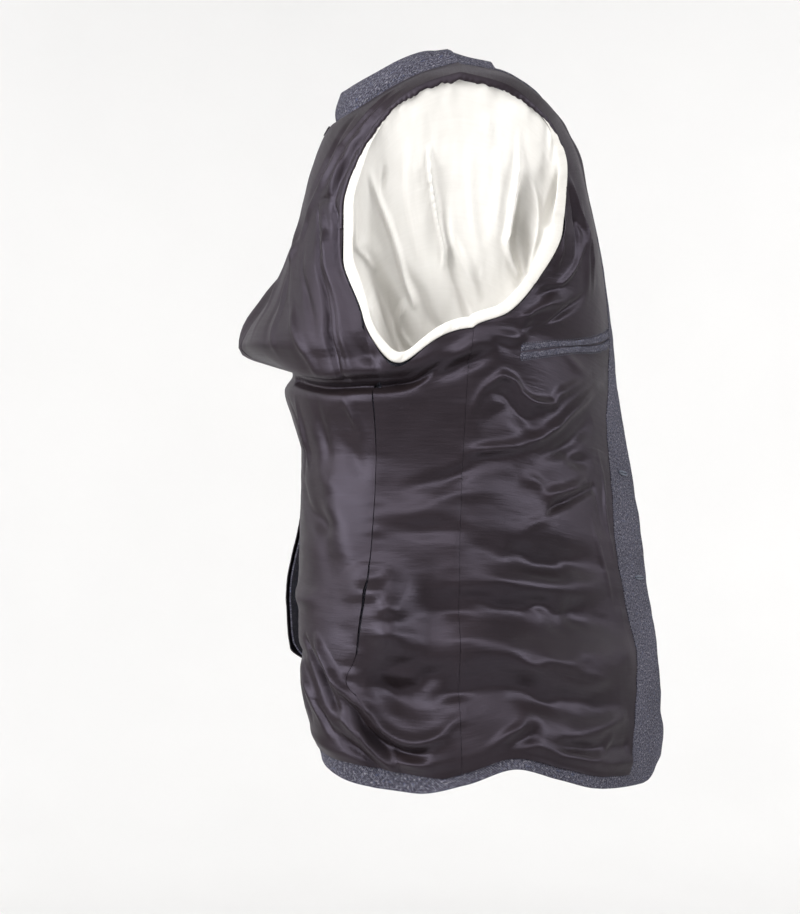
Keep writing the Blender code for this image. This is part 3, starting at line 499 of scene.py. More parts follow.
def relief(a, v, side):
    """How far the cloth stands off the skin, in metres."""
    a, v = np.broadcast_arrays(np.asarray(a, float), np.asarray(v, float))
    x, y = metres(a, v)
    height = np.zeros(a.shape)
    for width, lean, points in CREASES if side < 0 else FAR_CREASES:
        placed = []
        for ca, cv, mm in points:
            px, py = metres(ca, cv)
            placed.append((float(px), float(py), mm * CREASE_HEIGHT / 1000))
        height = height + crease(x, y, placed, width / 1000, lean)
    seed = 11 if side < 0 else 57
    height = height * (1 + .32 * noise(x / .021, y / .015, seed + 3))
    low = ease((v - .50) / .15)
    height = height + (.0008 + .0008 * low) * hills(x / .110, y / .040, seed)
    height = height + .0003 * hills(x / .040 + y / .09, y / .016, seed + 5)
    # the lining is cut long: it bags a little just above the hem
    bag = ease((v - .90) / .05) * (1 - ease((v - .968) / .016))
    height = height + bag * (.0030 + .0020 * noise(x / .05, y / .2, seed + 9))
    # a seam draws in, and little puckers cross it
    for seam in (SIDE_FRONT, SIDE_BACK):
        sx = metres(SIDE_FRONT if seam == SIDE_FRONT else back_seam(v), 0)[0]
        below = ease((v - UNDERARM) / .02)
        height = height - below * .0002 * bell((x - sx) / .003)
        pucker = noise(y / .0070, seam * 9 + x / .05, seed + 20) * bell((x - sx) / .013)
        height = height + below * (.0005 + .0004 * ease((v - .66) / .1)) * pucker
    # at the centre back both halves meet in one seam, above the vent
    middle = ease((VENT_TOP - v) / .03)
    height = height * (1 - middle * (1 - ease((CENTRE_BACK - a) / .16)))
    height = height - middle * .0006 * bell((CENTRE_BACK - a) * .22 / .0020)
    height = height * ease(v / .02 + .35)
    # puckers along the armhole's edge, front and back
    beside = np.minimum(np.abs(x - float(metres(SIDE_FRONT, 0)[0])) + (a > SIDE_FRONT) * 9,
                        np.abs(x - float(metres(SIDE_BACK, 0)[0])) + (a < SIDE_BACK) * 9)
    pucker = noise(y / .007, x / .03, seed + 30)
    height = height + (v < UNDERARM + .01) * .0005 * pucker * bell(beside / .010)
    return height


def on_cloth(a, v, off, side):
    """Points off the creased cloth by a distance."""
    a, v = np.broadcast_arrays(np.asarray(a, float), np.asarray(v, float))
    return skin(a, v, side) + outward_of(a, v, side) * (relief(a, v, side) + off)[..., None]


# ---------------------------------------------------------------- meshes
def grid_faces(index, flip=False):
    """The faces of four corners between a grid's rows and columns."""
    corners = index[:-1, :-1], index[:-1, 1:], index[1:, 1:], index[1:, :-1]
    quads = np.stack(corners, axis=-1).reshape(-1, 4)
    return quads[:, ::-1] if flip else quads


def facing_out(points, quads):
    """The same faces, turned over if they look into the piece."""
    first, second, third, fourth = points[quads].transpose(1, 0, 2)
    volume = np.einsum("ij,ij->", first, np.cross(second, third) + np.cross(third, fourth))
    return quads[:, ::-1] if volume < 0 else quads


def put(name, data):
    made = bpy.data.objects.new(name, data)
    bpy.context.scene.collection.objects.link(made)
    return made


def mesh_piece(name, points, quads, uv, cloth):
    """An object from points, faces of four corners and a texture place for each point."""
    name += "_look"
    mesh = bpy.data.meshes.new(name)
    mesh.vertices.add(len(points))
    mesh.vertices.foreach_set("co", np.ascontiguousarray(points, dtype=np.float32).ravel())
    flat = np.ascontiguousarray(quads, dtype=np.int32).ravel()
    mesh.loops.add(len(flat))
    mesh.loops.foreach_set("vertex_index", flat)
    mesh.polygons.add(len(quads))
    mesh.polygons.foreach_set("loop_start", np.arange(0, len(flat), 4, dtype=np.int32))
    mesh.update(calc_edges=True)
    mesh.validate()
    layer = mesh.uv_layers.new(name="UVMap")
    layer.data.foreach_set("uv", np.ascontiguousarray(uv[flat], dtype=np.float32).ravel())
    mesh.polygons.foreach_set("use_smooth", np.ones(len(mesh.polygons), bool))
    mesh.materials.append(CLOTHS[cloth])
    made = put(name, mesh)
    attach(made, "root")
    return made


def crisp_rim(mesh, index, back):
    """Keep a sheet's cut edges sharp, so no light gathers along a seam."""
    rim = np.zeros(len(mesh.vertices), dtype=int)
    for number, grid in ((1, index), (2, back)):
        rim[grid[0]] = rim[grid[-1]] = rim[grid[:, 0]] = rim[grid[:, -1]] = number
    ends = np.empty(2 * len(mesh.edges), dtype=np.int32)
    mesh.edges.foreach_get("vertices", ends)
    first, last = rim[ends[::2]], rim[ends[1::2]]
    layer = mesh.attributes.new("sharp_edge", "BOOLEAN", "EDGE")
    layer.data.foreach_set("value", (first > 0) & (first == last))


def sheet_uv(grid):
    """Texture places in metres, measured along the cloth's own columns and rows."""
    across = np.linalg.norm(np.diff(grid, axis=1), axis=-1)
    down = np.linalg.norm(np.diff(grid, axis=0), axis=-1)
    u = np.concatenate((np.zeros((grid.shape[0], 1)), np.cumsum(across, axis=1)), axis=1)
    v = np.concatenate((np.zeros((1, grid.shape[1])), np.cumsum(down, axis=0)), axis=0)
    u = u - u.mean(axis=1, keepdims=True)
    v = np.broadcast_to(v.mean(axis=1, keepdims=True), v.shape)
    return np.stack((u, -v), axis=-1)


def cut_to(middle):
    """Measures a sheet's greatest width and length along its middle and rounds them to the millimetre;
    nothing is done with them.
    """
    width = np.linalg.norm(np.diff(middle, axis=1), axis=-1).sum(axis=1).max()
    length = np.linalg.norm(np.diff(middle, axis=0), axis=-1).sum(axis=0).max()
    width, length = round(float(width), 3), round(float(length), 3)


def shell(name, outer, inner, side, cloth):
    """A thin closed wall between two like grids."""
    rows, columns = outer.shape[:2]
    points = np.concatenate((outer.reshape(-1, 3), inner.reshape(-1, 3))) * (side, 1, 1)
    uv = np.tile(sheet_uv((outer + inner) / 2).reshape(-1, 2), (2, 1))
    index = np.arange(rows * columns).reshape(rows, columns)
    back = index + rows * columns
    quads = np.concatenate((
        grid_faces(index),
        grid_faces(back, True),
        grid_faces(np.stack((back[0], index[0]))),
        grid_faces(np.stack((index[-1], back[-1]))),
        grid_faces(np.stack((back[:, 0], index[:, 0])), True),
        grid_faces(np.stack((index[:, -1], back[:, -1])), True),
    ))
    made = mesh_piece(name, points, facing_out(points, quads), uv, cloth)
    crisp_rim(made.data, index, back)
    if cloth != "gap":
        cut_to((outer + inner) / 2)
    return made


def spread(first, last, rows, columns):
    """Rows of a from first to last, which may differ from row to row."""
    s = np.linspace(0, 1, columns)
    first, last = np.broadcast_to(first, rows.shape), np.broadcast_to(last, rows.shape)
    return first[:, None] * (1 - s) + last[:, None] * s


def count(n):
    return max(6, int(n * FINE))


# How wide the tweed turned up at the hem shows below the lining, in millimetres
HEM_SHOWN = ((0, 13), (.6, 11), (1.2, 10), (2.05, 9), (2.5, 14), (2.9, 16), (3.3, 14), (3.7, 15), (4, 16))


def cloth_panel(name, a, v, offs, side, cloth):
    """A panel of the body over the places a, v, between two distances off the creased skin."""
    over = 0.0
    if cloth == "dark satin":        # cut long, it hangs a little over the hem
        low = ease((v - .90) / (HEM_TURN - .90))
        loose = .0010 * noise(metres(a, v)[0] / .022, v * 0, 101 + side)
        v = v + (1 - along(HEM_SHOWN, a) / 1000 / LENGTH + loose - HEM_TURN) * low
        over = (TWEED + .0006) * ease((v - HEM_TURN + .016) / .014)
    outward = outward_of(a, v, side)
    height = relief(a, v, side)
    if cloth == "tweed inside":      # a coarser grid keeps below the lining's troughs round about it
        near = [relief(a + da, v + dv, side) for da in (-.03, 0, .03) for dv in (-.006, 0, .006)]
        height = np.min(near, axis=0) - .0006
    middle = skin(a, v, side) + outward * (height + over)[..., None]
    made = shell(name, middle + outward * offs[1], middle + outward * offs[0], side, cloth)
    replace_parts(made, name)


# ---------------------------------------------------------------- the body's panels
SHELL_BACK_OFF = 0.0015      # the shell lies this much further in than in the CAD, out of the lining's way
OUT_LINING = (LAYER, LAYER + LINING)
OUT_TWEED = (LAYER, LAYER + TWEED)
IN_TWEED = (-LAYER - TWEED - SHELL_BACK_OFF, -LAYER - SHELL_BACK_OFF)


def corner_start(v):
    """The rounded lower front corner: where the front edge begins at each v."""
    past = np.clip((v - (1 - CORNER_V)) / CORNER_V, 0, 1)
    return CORNER_A * (1 - np.sqrt(1 - past * past))


def rows_down(top, bottom, n):
    """Rows from top to bottom, closer together where the creases are sharp."""
    fine = np.linspace(top, bottom, 400)
    weight = 1 + 1.3 * bell((fine - .525) / .03) + .9 * ease((fine - .85) / .03)
    reached = np.concatenate(((0,), np.cumsum((weight[1:] + weight[:-1]) / 2)))    # rows needed so far
    return np.interp(np.linspace(0, reached[-1], count(n)), reached, fine)


def back_seam(v):
    """Where the side body meets the back lining: it leans below the armhole and again near the bottom."""
    lean = -.085 * ease((v - .465) / .055) * (1 - ease((v - .522) / .010))
    return SIDE_BACK + lean + .045 * ease((v - .86) / .04) - .42 * ease((v - .892) / .08)


def centre_back(v):
    """The halves touch down to the vent and stand apart below it."""
    return CENTRE_BACK - SEAM_A * ease((v - VENT_TOP) / .01)


def seam_wave(v, side):
    """The lining's seam to the facing wanders a little."""
    return .018 * noise(v * 22, v * 0 + 3.3, 81 + side) + .007 * noise(v * 70, v * 0 + 5.1, 85 + side)


def half_body(side, word, scale):
    """One half's panels. Its columns and rows are multiplied by scale, as the far half needs fewer."""
    v = rows_down(0, HEM_TURN, 330 * scale)
    full = np.concatenate((v, np.linspace(HEM_TURN, 1, max(5, int(12 * scale)))[1:]))
    meet = along(FACING_SEAM, v) + seam_wave(v, side)
    meet_full = along(FACING_SEAM, full) + seam_wave(full, side)

    def panel(name, first, last, rows, columns, offs, cloth):
        a = spread(first, last, rows, count(columns * scale))
        return cloth_panel(f"{name}_{word}", a, rows[:, None] + 0 * a, offs, side, cloth)

    panel("lining_front", meet + SEAM_A, SIDE_FRONT - SEAM_A, v, 108, OUT_LINING, "dark satin")
    panel("lining_back", back_seam(v) + SEAM_A, centre_back(v), v, 98, OUT_LINING, "dark satin")
    panel("facing", corner_start(full), meet_full - SEAM_A, full, 22, OUT_TWEED, "tweed")
    coarse = np.linspace(0, 1, count(110 * scale))
    panel("shell_front", corner_start(coarse), SIDE_FRONT - SEAM_A, coarse, 46, IN_TWEED, "tweed inside")
    panel("shell_back", SIDE_BACK + SEAM_A, centre_back(coarse), coarse, 40, IN_TWEED, "tweed inside")

    for name, bottom, down, columns, offs, cloth in (
        ("lining_side", HEM_TURN, 220, 60, OUT_LINING, "dark satin"),
        ("shell_side", 1.0, 60, 20, IN_TWEED, "tweed inside"),
    ):
        rows = rows_down(UNDERARM, bottom, down * scale)
        end = back_seam(rows) if cloth == "dark satin" else SIDE_BACK
        a = spread(SIDE_FRONT + SEAM_A, end - SEAM_A, rows, count(columns * scale))
        cloth_panel(f"{name}_{word}", a, side_v(a, rows[:, None]), offs, side, cloth)

    rows = np.linspace(HEM_TURN + .0006, 1, max(5, int(12 * scale)))
    a = spread(along(FACING_SEAM, rows) + SEAM_A, CENTRE_BACK - SEAM_A, rows, count(300 * scale))
    cloth_panel(f"hem_{word}", a, rows[:, None] + 0 * a, OUT_TWEED, side, "tweed")

    lapel(f"lapel_shell_{word}", side, IN_TWEED, "tweed inside", scale)
    lapel(f"lapel_face_{word}", side, OUT_TWEED, "tweed", scale)


def lapel(name, side, offs, cloth, scale):
    """The part past the roll line: round the roll, then back inside the front."""
    rows = np.linspace(GORGE, BREAK, count(90 * scale))
    roll = LAPEL_ROLL * (1 - .8 * ease((rows - BREAK + .08) / .08))[:, None]    # it closes up at the break
    turned = roll * pi
    end = np.maximum(along(LAPEL_WIDTH, rows), turned[:, 0] + .004)
    s = np.linspace(0, 1, count(26 * scale))
    t = PIECE + (end[:, None] - PIECE) * s
    v = rows[:, None] + 0 * t
    inset = 0.02      # a little way in from the front edge, as a
    root, beside = on_cloth(0 * v, v, 0, side), skin(0 * v + inset, v, side)
    edge_way = unit(root - beside)
    normal = outward_of(0 * v, v, side)
    back = np.maximum(t - turned, 0) / np.linalg.norm(beside - root, axis=-1) * inset
    lying = outward_of(back, v, side)
    grids = []
    for off in offs[::-1]:
        angle = np.minimum(t / roll, pi)[..., None]
        radius = roll[..., None] + off
        rolled = root - normal * roll[..., None] + normal * radius * np.cos(angle)
        rolled = rolled + edge_way * radius * np.sin(angle)
        wave = .0015 * noise(v * 14, t * 30, 91 + side) * ease((t - turned) / .02)
        flat = skin(back, v, side) - lying * (2 * roll + off + wave)[..., None]
        grids.append(np.where((t <= turned)[..., None], rolled, flat))
    made = shell(name, grids[0], grids[1], side, cloth)
    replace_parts(made, name)


# ---------------------------------------------------------------- armhole and sleeve
def armhole_line(side, upper, n):
    """The armhole's edge: its points, the way out there and how far round it lies, from 0 to 1."""
    p = np.linspace(0, 1, n)
    if upper:
        a = np.where(p <= 0.5, SIDE_FRONT, SIDE_BACK)
        v = UNDERARM * np.abs(1 - 2 * p)
    else:
        a = SIDE_BACK - p
        v = side_top(a)
    edge = skin(a, v, side)
    out = outward_of(np.where(upper & (p > 0.5), SIDE_BACK + .01, a), v, side)
    out[..., 2] *= 0.3
    out = unit(out + np.array((0.8, 0, 0)))
    lift = relief(np.clip(a, 0, SIDE_BACK), v, side) * (0.0 if upper else 0.5)
    return edge + out * lift[..., None], out, p


def round_off(points, times, closed):
    """Soften a line's corners."""
    for _ in range(times):
        before, after = np.roll(points, 1, axis=0), np.roll(points, -1, axis=0)
        mixed = points * 0.5 + (before + after) * 0.25
        if not closed:
            mixed[0], mixed[-1] = points[0], points[-1]
        points = mixed
    return points


def armhole_loop(side, n=360):
    """The whole edge, up the front, down the back and along below, with the border's widths and places p.

    Along below, p stays 0.
    """
    upper, lower = int(n * .78), n - int(n * .78)
    e1, o1, p1 = armhole_line(side, True, upper)
    e2, o2, _ = armhole_line(side, False, lower + 2)
    edge = np.concatenate((e1, e2[1:-1]))
    out = np.concatenate((o1, o2[1:-1]))
    width = np.concatenate((border_width(p1), np.full(lower, BORDER_WIDTH)))
    edge = round_off(edge, 5, True)
    out = unit(round_off(out, 30, True))
    width = round_off(width[:, None], 8, True)[:, 0]
    return edge, out, width, np.concatenate((p1, np.zeros(lower)))


def border_width(p):
    """The pale border is narrow over the shoulder and full below it."""
    return BORDER_WIDTH_TOP + (BORDER_WIDTH - BORDER_WIDTH_TOP) * ease((np.abs(p - 0.5) - .08) / .16)


def armhole_centre(side):
    """A point in the middle of the opening, a little inside the coat."""
    lowest = SIDE_FRONT + UNDERARM_LOW_AT
    top, low = skin(SIDE_FRONT, 0.0, side), skin(lowest, side_top(lowest), side)
    return (top + low) / 2 + np.array((-0.012, 0, 0))


def into_armhole(edge, out, side):
    """The way across the opening from its edge, along the skin there."""
    way = armhole_centre(side) - edge
    return unit(way - out * (way * out).sum(-1, keepdims=True))


# p goes from 0 at the front's underarm corner over the shoulder to 1 at the back's.
# How much of the border stands out: it is flat below the lining's edge at the back of the shoulder
BORDER_SHOWN = ((0, 1), (.20, 1), (.27, .6), (.34, .1), (.42, 0), (.66, 0), (.74, .3), (.82, 1), (1, 1))

# How far the border laps out over the lining's edge, and how far that edge rolls in over it, in millimetres
BORDER_LAP = ((0, .4), (.12, 1.2), (.22, 3.2), (.32, 3.4), (.40, 1.0), (.55, .4), (.80, .4), (1, .4))
EDGE_ROLL = (
    (0, 0), (.26, 0), (.34, 1.6), (.40, 4.2), (.5, 5.2), (.64, 4.6), (.74, 2.6), (.84, .6), (.90, 0), (1, 0),
)


def border(side, name, scale):
    """A folded pale strip round the armhole, a little uneven and twisted."""
    edge, out, width, p = armhole_loop(side, count(620 * scale))
    inward = into_armhole(edge, out, side)
    length = run_of(edge)
    full = width / BORDER_WIDTH
    lap = along(BORDER_LAP, p) / 1000
    width = width * (1 + .10 * noise(length / .02, length * 0 + 2, 45)) + lap
    shown = along(BORDER_SHOWN, p)
    width = width * (.25 + .75 * shown)
    thick = BORDER_THICK * .5 * (.15 + .85 * np.minimum(full, shown))
    grid = []
    for k in range(18):
        angle = 2 * pi * k / 18
        across = 0.5 - 0.5 * cos(angle)
        twist = length - .006 * across
        crimp = noise(twist / .0075, length * 0 + .5, 41 + side)
        crimp = crimp + .6 * noise(twist / .0032, length * 0, 43 + side)
        high = sin(angle) * (1 if sin(angle) > 0 else .7) * (1 + .42 * crimp * full)
        shift = BORDER_GAP - lap + width * across
        grid.append(edge + inward * shift[:, None] + out * (high * thick + .0012 * (lap > .0008))[:, None])
    grid = np.stack(grid, axis=1)
    rows = np.concatenate((grid, grid[:1]))
    # drawn in the darker copy of the pale satin, as painted shade
    made = tube(name, rows, side, "binding_painted_shade")
    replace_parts(made, name)


def edge_roll(side, word, scale):
    """The lining's edge over the shoulder: it rolls in over the border and is gathered in small scallops."""
    edge, out, p = armhole_line(side, True, count(420 * scale))
    edge, out = round_off(edge, 6, False), unit(round_off(out, 20, False))
    inward = into_armhole(edge, out, side)
    length = run_of(edge)
    keep = along(EDGE_ROLL, p) > .02
    scallop = np.abs(np.sin(pi * (length / .0072 + .35 * noise(length / .02, length * 0, 49 + side))))
    uneven = .34 * noise(length / .010, length * 0 + 4, 48) + .26 * noise(length / .0045, length * 0 + 2, 50)
    reach = along(EDGE_ROLL, p) / 1000 * (.80 + .22 * scallop + uneven)
    grid = []
    for k in range(16):
        angle = 2 * pi * k / 16
        across = 0.5 - 0.5 * cos(angle)
        thick = .0016 * (.35 + .65 * ease(reach / .003)) * (1 + .25 * scallop * across)
        high = sin(angle) * (1 if sin(angle) > 0 else .6)
        shift = -.0035 + (.0035 + reach) * across
        grid.append(edge + inward * shift[:, None] + out * (high * thick + .0011)[:, None])
    rows = np.stack(grid, axis=1)[keep]
    tube(f"lining_edge_{word}", rows, side, "dark satin", joined=False)


def tube(name, rings, side, cloth, joined=True):
    """A tube through rings of points. A joined one repeats its first ring; another's ends are closed."""
    n, m = rings.shape[0] - joined, rings.shape[1]
    points = rings[:n].reshape(-1, 3) * (side, 1, 1)
    index = np.arange(n * m).reshape(n, m)
    if joined:
        index = np.concatenate((index, index[:1]))
    quads = grid_faces(np.concatenate((index, index[:, :1]), axis=1))
    if not joined:
        for ring, step in ((index[0], 1), (index[-1], -1)):
            pairs = range(m // 2 - 1)
            cap = [(ring[k], ring[k + 1], ring[m - 2 - k], ring[m - 1 - k])[::step] for k in pairs]
            quads = np.concatenate((quads, cap))
    around, onward = np.linspace(0, .03, m), np.linspace(0, 1.1, n)
    uv = np.stack(np.meshgrid(around, onward), axis=-1).reshape(-1, 2)
    made = mesh_piece(name, points, facing_out(points, quads), uv, cloth)
    cut_to(rings[:, :m // 2 + 1])
    return made


# The near sleeve's creases, seen through the armhole: width, lean and points as (y, z, height), millimetres
SLEEVE_CREASES = (
    (5, .5, ((44, -124, 0), (34, -152, 4), (22, -180, 6), (14, -204, 6), (7, -232, 6), (-3, -258, 3))),
    (3.6, .9, ((-17, -100, 0), (-19, -126, 5), (-24, -160, 5), (-28, -182, 5), (-33, -204, 4),
               (-31, -224, 0))),
    (7, .3, ((-37, -146, 0), (-41, -188, 4), (-52, -215, 5), (-63, -238, 3), (-70, -255, 0))),
    (8, 0, ((-36, -200, 0), (-44, -226, -7), (-54, -252, -9), (-62, -270, -6))),
    (5, .4, ((-105, -84, 0), (-106, -112, 4), (-106, -128, 6), (-102, -155, 9), (-98, -182, 11),
             (-96, -196, 10), (-108, -226, 5))),
    (10, 0, ((-112, -125, 0), (-112, -160, -9), (-110, -190, -17), (-112, -215, -14), (-114, -236, -8))),
    (4, .2, ((-115, -124, 0), (-125, -152, 3), (-127, -180, 4), (-121, -208, 3), (-117, -225, 0))),
    (6, 0, ((-148, -112, 0), (-145, -140, -7), (-140, -160, -10), (-137, -178, -6))),
    (12, 0, ((52, -200, 0), (37, -228, -10), (25, -255, -20), (15, -282, -26), (6, -306, -26))),
    (5, .3, ((8, -252, 0), (12, -272, 7), (9, -288, 8), (-2, -304, 5))),
    (4, .3, ((55, -155, 0), (56, -185, 3), (55, -200, 3), (44, -212, 3), (34, -228, 0))),
    (9, 0, ((20, -210, 0), (-4, -240, -5), (-16, -268, -7), (-26, -284, -6))),
    (5, .3, ((-74, -70, 0), (-76, -88, 2.5), (-83, -105, 0))),
    (6, .2, ((-60, -90, 0), (-58, -130, 2), (-62, -175, 2.5), (-70, -210, 0))),
    (6, .2, ((-84, -100, 0), (-88, -140, 2.4), (-86, -180, 0))),
    (4, -.2, ((26, -118, 0), (27, -134, -3), (30, -148, 0))),
    (7, .2, ((0, -90, 0), (4, -140, 2), (-4, -190, 2.5), (-10, -225, 0))),
    (9, 0, ((-130, -100, 0), (-126, -130, 2), (-133, -160, 0))),
)
SLEEVE_DROP = 0.35, 0.40     # how stiffly a line leaves the armhole and reaches the tube
SLEEVE_SHELL_SEAT = 0.0050   # how far beyond its lining the sleeve's tweed lies


def sleeve_tube(z, angle):
    """Points of the hanging tube: angle 0 at the front seam, 180 at the back, inwards between."""
    rows = [(-row[0],) + row[1:] for row in SLEEVE]
    w, y, half_width, half_depth = (along(rows, -z, k) for k in (1, 2, 3, 4))
    return xyz(w - half_depth * np.sin(angle), y - half_width * np.cos(angle), z)


def sleeve(side, word, upper, scale):
    """The top or under half of a sleeve, lining and shell: a funnel from the armhole, then a tube."""
    n = count((180 if upper else 70) * scale)
    edge, out, p = armhole_line(side, upper, n)
    if not upper:
        edge, out = edge[::-1], out[::-1]
    edge, out = round_off(edge, 6, False), unit(round_off(out, 20, False))
    width = border_width(p) if upper else np.full(n, BORDER_WIDTH)
    inward = into_armhole(edge, out, side)
    shown = along(BORDER_SHOWN, p) if upper else np.ones(n)
    sunk = .0030 * shown + .0060 * np.maximum(bell(p / .12), bell((1 - p) / .09))
    start = edge + inward * (BORDER_GAP + width * .45 * shown)[:, None] + out * (.0004 - sunk)[:, None]
    corner = np.array((-0.62, 0, -0.78))
    middle = np.array((-0.50, 0, -0.87) if upper else (-0.80, 0, -0.60))
    way = corner + (middle - corner) * np.sin(pi * p)[:, None]
    angle = pi * (0.02 + 0.96 * p) * (1 if upper else -1)
    top = sleeve_tube(np.full(n, SLEEVE[0][0]), angle)
    drop = np.linalg.norm(top - start, axis=1)[:, None]
    first = start + way * drop * SLEEVE_DROP[0]
    second = top + np.array((0, 0, 1)) * drop * SLEEVE_DROP[1]
    t = np.linspace(0, 1, count(115 * scale))[:, None, None]
    hanging = bezier(start, first, second, top, t)
    low = np.linspace(SLEEVE[0][0], SLEEVE[-1][0], count(40 * scale))[1:]
    rows = [hanging] + [sleeve_tube(np.full(n, z), angle)[None] for z in low]
    grid = np.concatenate(rows)
    round_way, down_way = np.gradient(grid, axis=1), np.gradient(grid, axis=0)
    normal = unit(np.cross(round_way, down_way)) * (1 if upper else -1)
    down = np.concatenate((np.linspace(0, 1, len(hanging)), np.linspace(1, 2, len(low) + 1)[1:]))[:, None]
    wrinkle = sleeve_relief(grid, down, p, side, upper)
    grid = grid - normal * wrinkle[..., None]
    for name, offs, cloth in (
        ("sleeve_lining", (0, LINING), "pale satin"),
        ("sleeve_shell", (SLEEVE_SHELL_SEAT, SLEEVE_SHELL_SEAT + TWEED), "tweed inside"),
    ):
        full = f"{name}_{'top' if upper else 'under'}_{word}"
        step = 1 if cloth == "pale satin" else 2      # the shell has every second point, from its fourth row
        starts = 3 * step - 3, 0
        keep = [np.append(np.arange(first, m - 1, step), m - 1) for m, first in zip(grid.shape, starts)]
        deeper = .3 + .7 * ease(down / .15)[..., None] if cloth == "tweed inside" else 1.0
        wall = [(grid + normal * (off * deeper))[np.ix_(*keep)] for off in offs]
        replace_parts(shell(full, wall[1], wall[0], side, cloth), full)


def sleeve_relief(grid, down, p, side, upper):
    """How far the sleeve's lining stands towards the armhole, in metres."""
    y, z = grid[..., 1], grid[..., 2]
    seed = 61 if side < 0 else 71
    height = .0015 * hills(y / .022, z / .11, seed) + .0007 * hills(y / .010, z / .030, seed + 3)
    if upper:
        shift = 0 if side < 0 else .006
        for width, lean, points in SLEEVE_CREASES:
            placed = [(py / 1000 + shift, pz / 1000, .95 * mm / 1000) for py, pz, mm in points]
            height = height + crease(y, z, placed, width * (.62 if width < 7.5 else .8) / 1000, lean)
    # small gathers where it is sewn in over the shoulder
    gather = noise(p * 52, down * 3, seed + 8) * ease(1 - down * 9)
    held = ease(down / .10)
    height = height * held + .0016 * gather * ease((.42 - np.abs(p - .5)) / .1) * (1 if upper else .4)
    return height * (1 - .6 * ease(down - 1))


# ---------------------------------------------------------------- collar and small pieces
# Where the collar's shape changes along the neckline: u is 0 at its front end and 1 at centre back
COLLAR_FRONT = ((0, .06), (.1, .03), (.25, 0))
COLLAR_BACK = ((.35, 0), (.5, .03), (.6, .06), (.7, .12), (.8, .18), (.9, .215), (1, .25))


def collar(name, inner_off, outer_off, cloth):
    """A band on the neckline: it stands up, rolls inwards and falls inside, both halves in one."""
    n = count(90)
    u = np.linspace(0, 1, n)
    front = rail(FRONT_RAIL, along(COLLAR_FRONT, u))[0]
    back = rail(BACK_RAIL, along(COLLAR_BACK, u))[0]
    here = round_off(np.where((u < .3)[:, None], front, back), 12, False)
    middle = xyz(0 * u, NECK_MIDDLE_Y, here[:, 2])
    inward = unit(middle - here)
    lean = np.radians(along(COLLAR_LEAN, u))[:, None]
    top = np.array((0.0, 0.0, 1.0))
    up = top * np.cos(lean) + inward * np.sin(lean)
    across = inward * np.cos(lean) - top * np.sin(lean)
    here = here + inward * COLLAR_SEAT
    size = COLLAR_END + (1 - COLLAR_END) * ease(u / 0.3)
    wave = 1 + .05 * noise(u * 5, u * 0 + .7, 97)
    stand, fall = COLLAR_STAND * size * wave, COLLAR_FALL * size
    belly = .0012 * noise(u * 9, u * 0 + 4, 98)
    grids = []
    for off in (outer_off, inner_off):
        line = []
        for e in np.linspace(0, 1, 10):
            bulge = .0030 * sin(pi * e) + belly * sin(2 * pi * e)
            line.append((-off - bulge, stand * e))
        radius = COLLAR_ROLL + off
        for angle in np.radians(np.linspace(20, 180, 9)):
            line.append((COLLAR_ROLL - radius * cos(angle), stand + radius * sin(angle)))
        for e in np.linspace(0, 1, 7)[1:]:
            line.append((2 * COLLAR_ROLL + off + .001 * e, stand - fall * e))
        spots = []
        for d, e in line:
            d, e = (np.broadcast_to(part, u.shape)[:, None] for part in (d, e))
            spots.append(here + across * d + up * e)
        half = np.stack(spots, axis=1)
        grids.append(np.concatenate((half * (-1, 1, 1), half[-2::-1])).transpose(1, 0, 2))
    made = shell(name, grids[0], grids[1], 1, cloth)
    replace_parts(made, name)


def ribbon(name, a, v, half_width, thick, seat, side, cloth):
    """A padded strip on the cloth along a line of places, thin at its edges."""
    steps = np.linspace(-1, 1, 9)
    aa = np.stack([a for _ in steps])
    vv = np.stack([v + step * half_width / LENGTH for step in steps])
    crown = (thick * np.sqrt(np.maximum(0, 1 - steps ** 4)))[:, None]
    ends = np.sqrt(np.clip(1 - np.linspace(-1, 1, aa.shape[1]) ** 12, 0, 1))[None, :]
    base = on_cloth(aa, vv, LAYER + LINING + seat, side)
    top = base + outward_of(aa, vv, side) * (PIECE + crown * ends)[..., None]
    return shell(name, top, base, side, cloth)


def pocket(side):
    """Two padded tweed jets with a narrow gap between them, and a row of stitches beyond each."""
    n = count(110)
    a = np.linspace(POCKET[0][0] + .02, POCKET[-1][0], n)
    v = along(POCKET, a)
    gap = .0007 * (1 + .5 * noise(a * 6, a * 0, 31))
    for name, way in (("pocket_jet_upper", -1), ("pocket_jet_lower", 1)):
        half = JET / 2 * (1 + .06 * noise(a * 9, a * 0 + way, 33))
        middle = v + way * (gap + half) / LENGTH
        made = ribbon(name, a, middle, half, .0019, .0002, side, "tweed")
        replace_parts(made, name)
        places = np.linspace(a[0] + .02, a[-1] - .02, count(52))
        beyond = along(POCKET, places) + way * (JET + STITCH) / LENGTH
        stitches(name + "_stitches", places, beyond, side)


STITCH, STITCH_RADIUS = 0.0016, 0.00035      # a stitch's length and radius


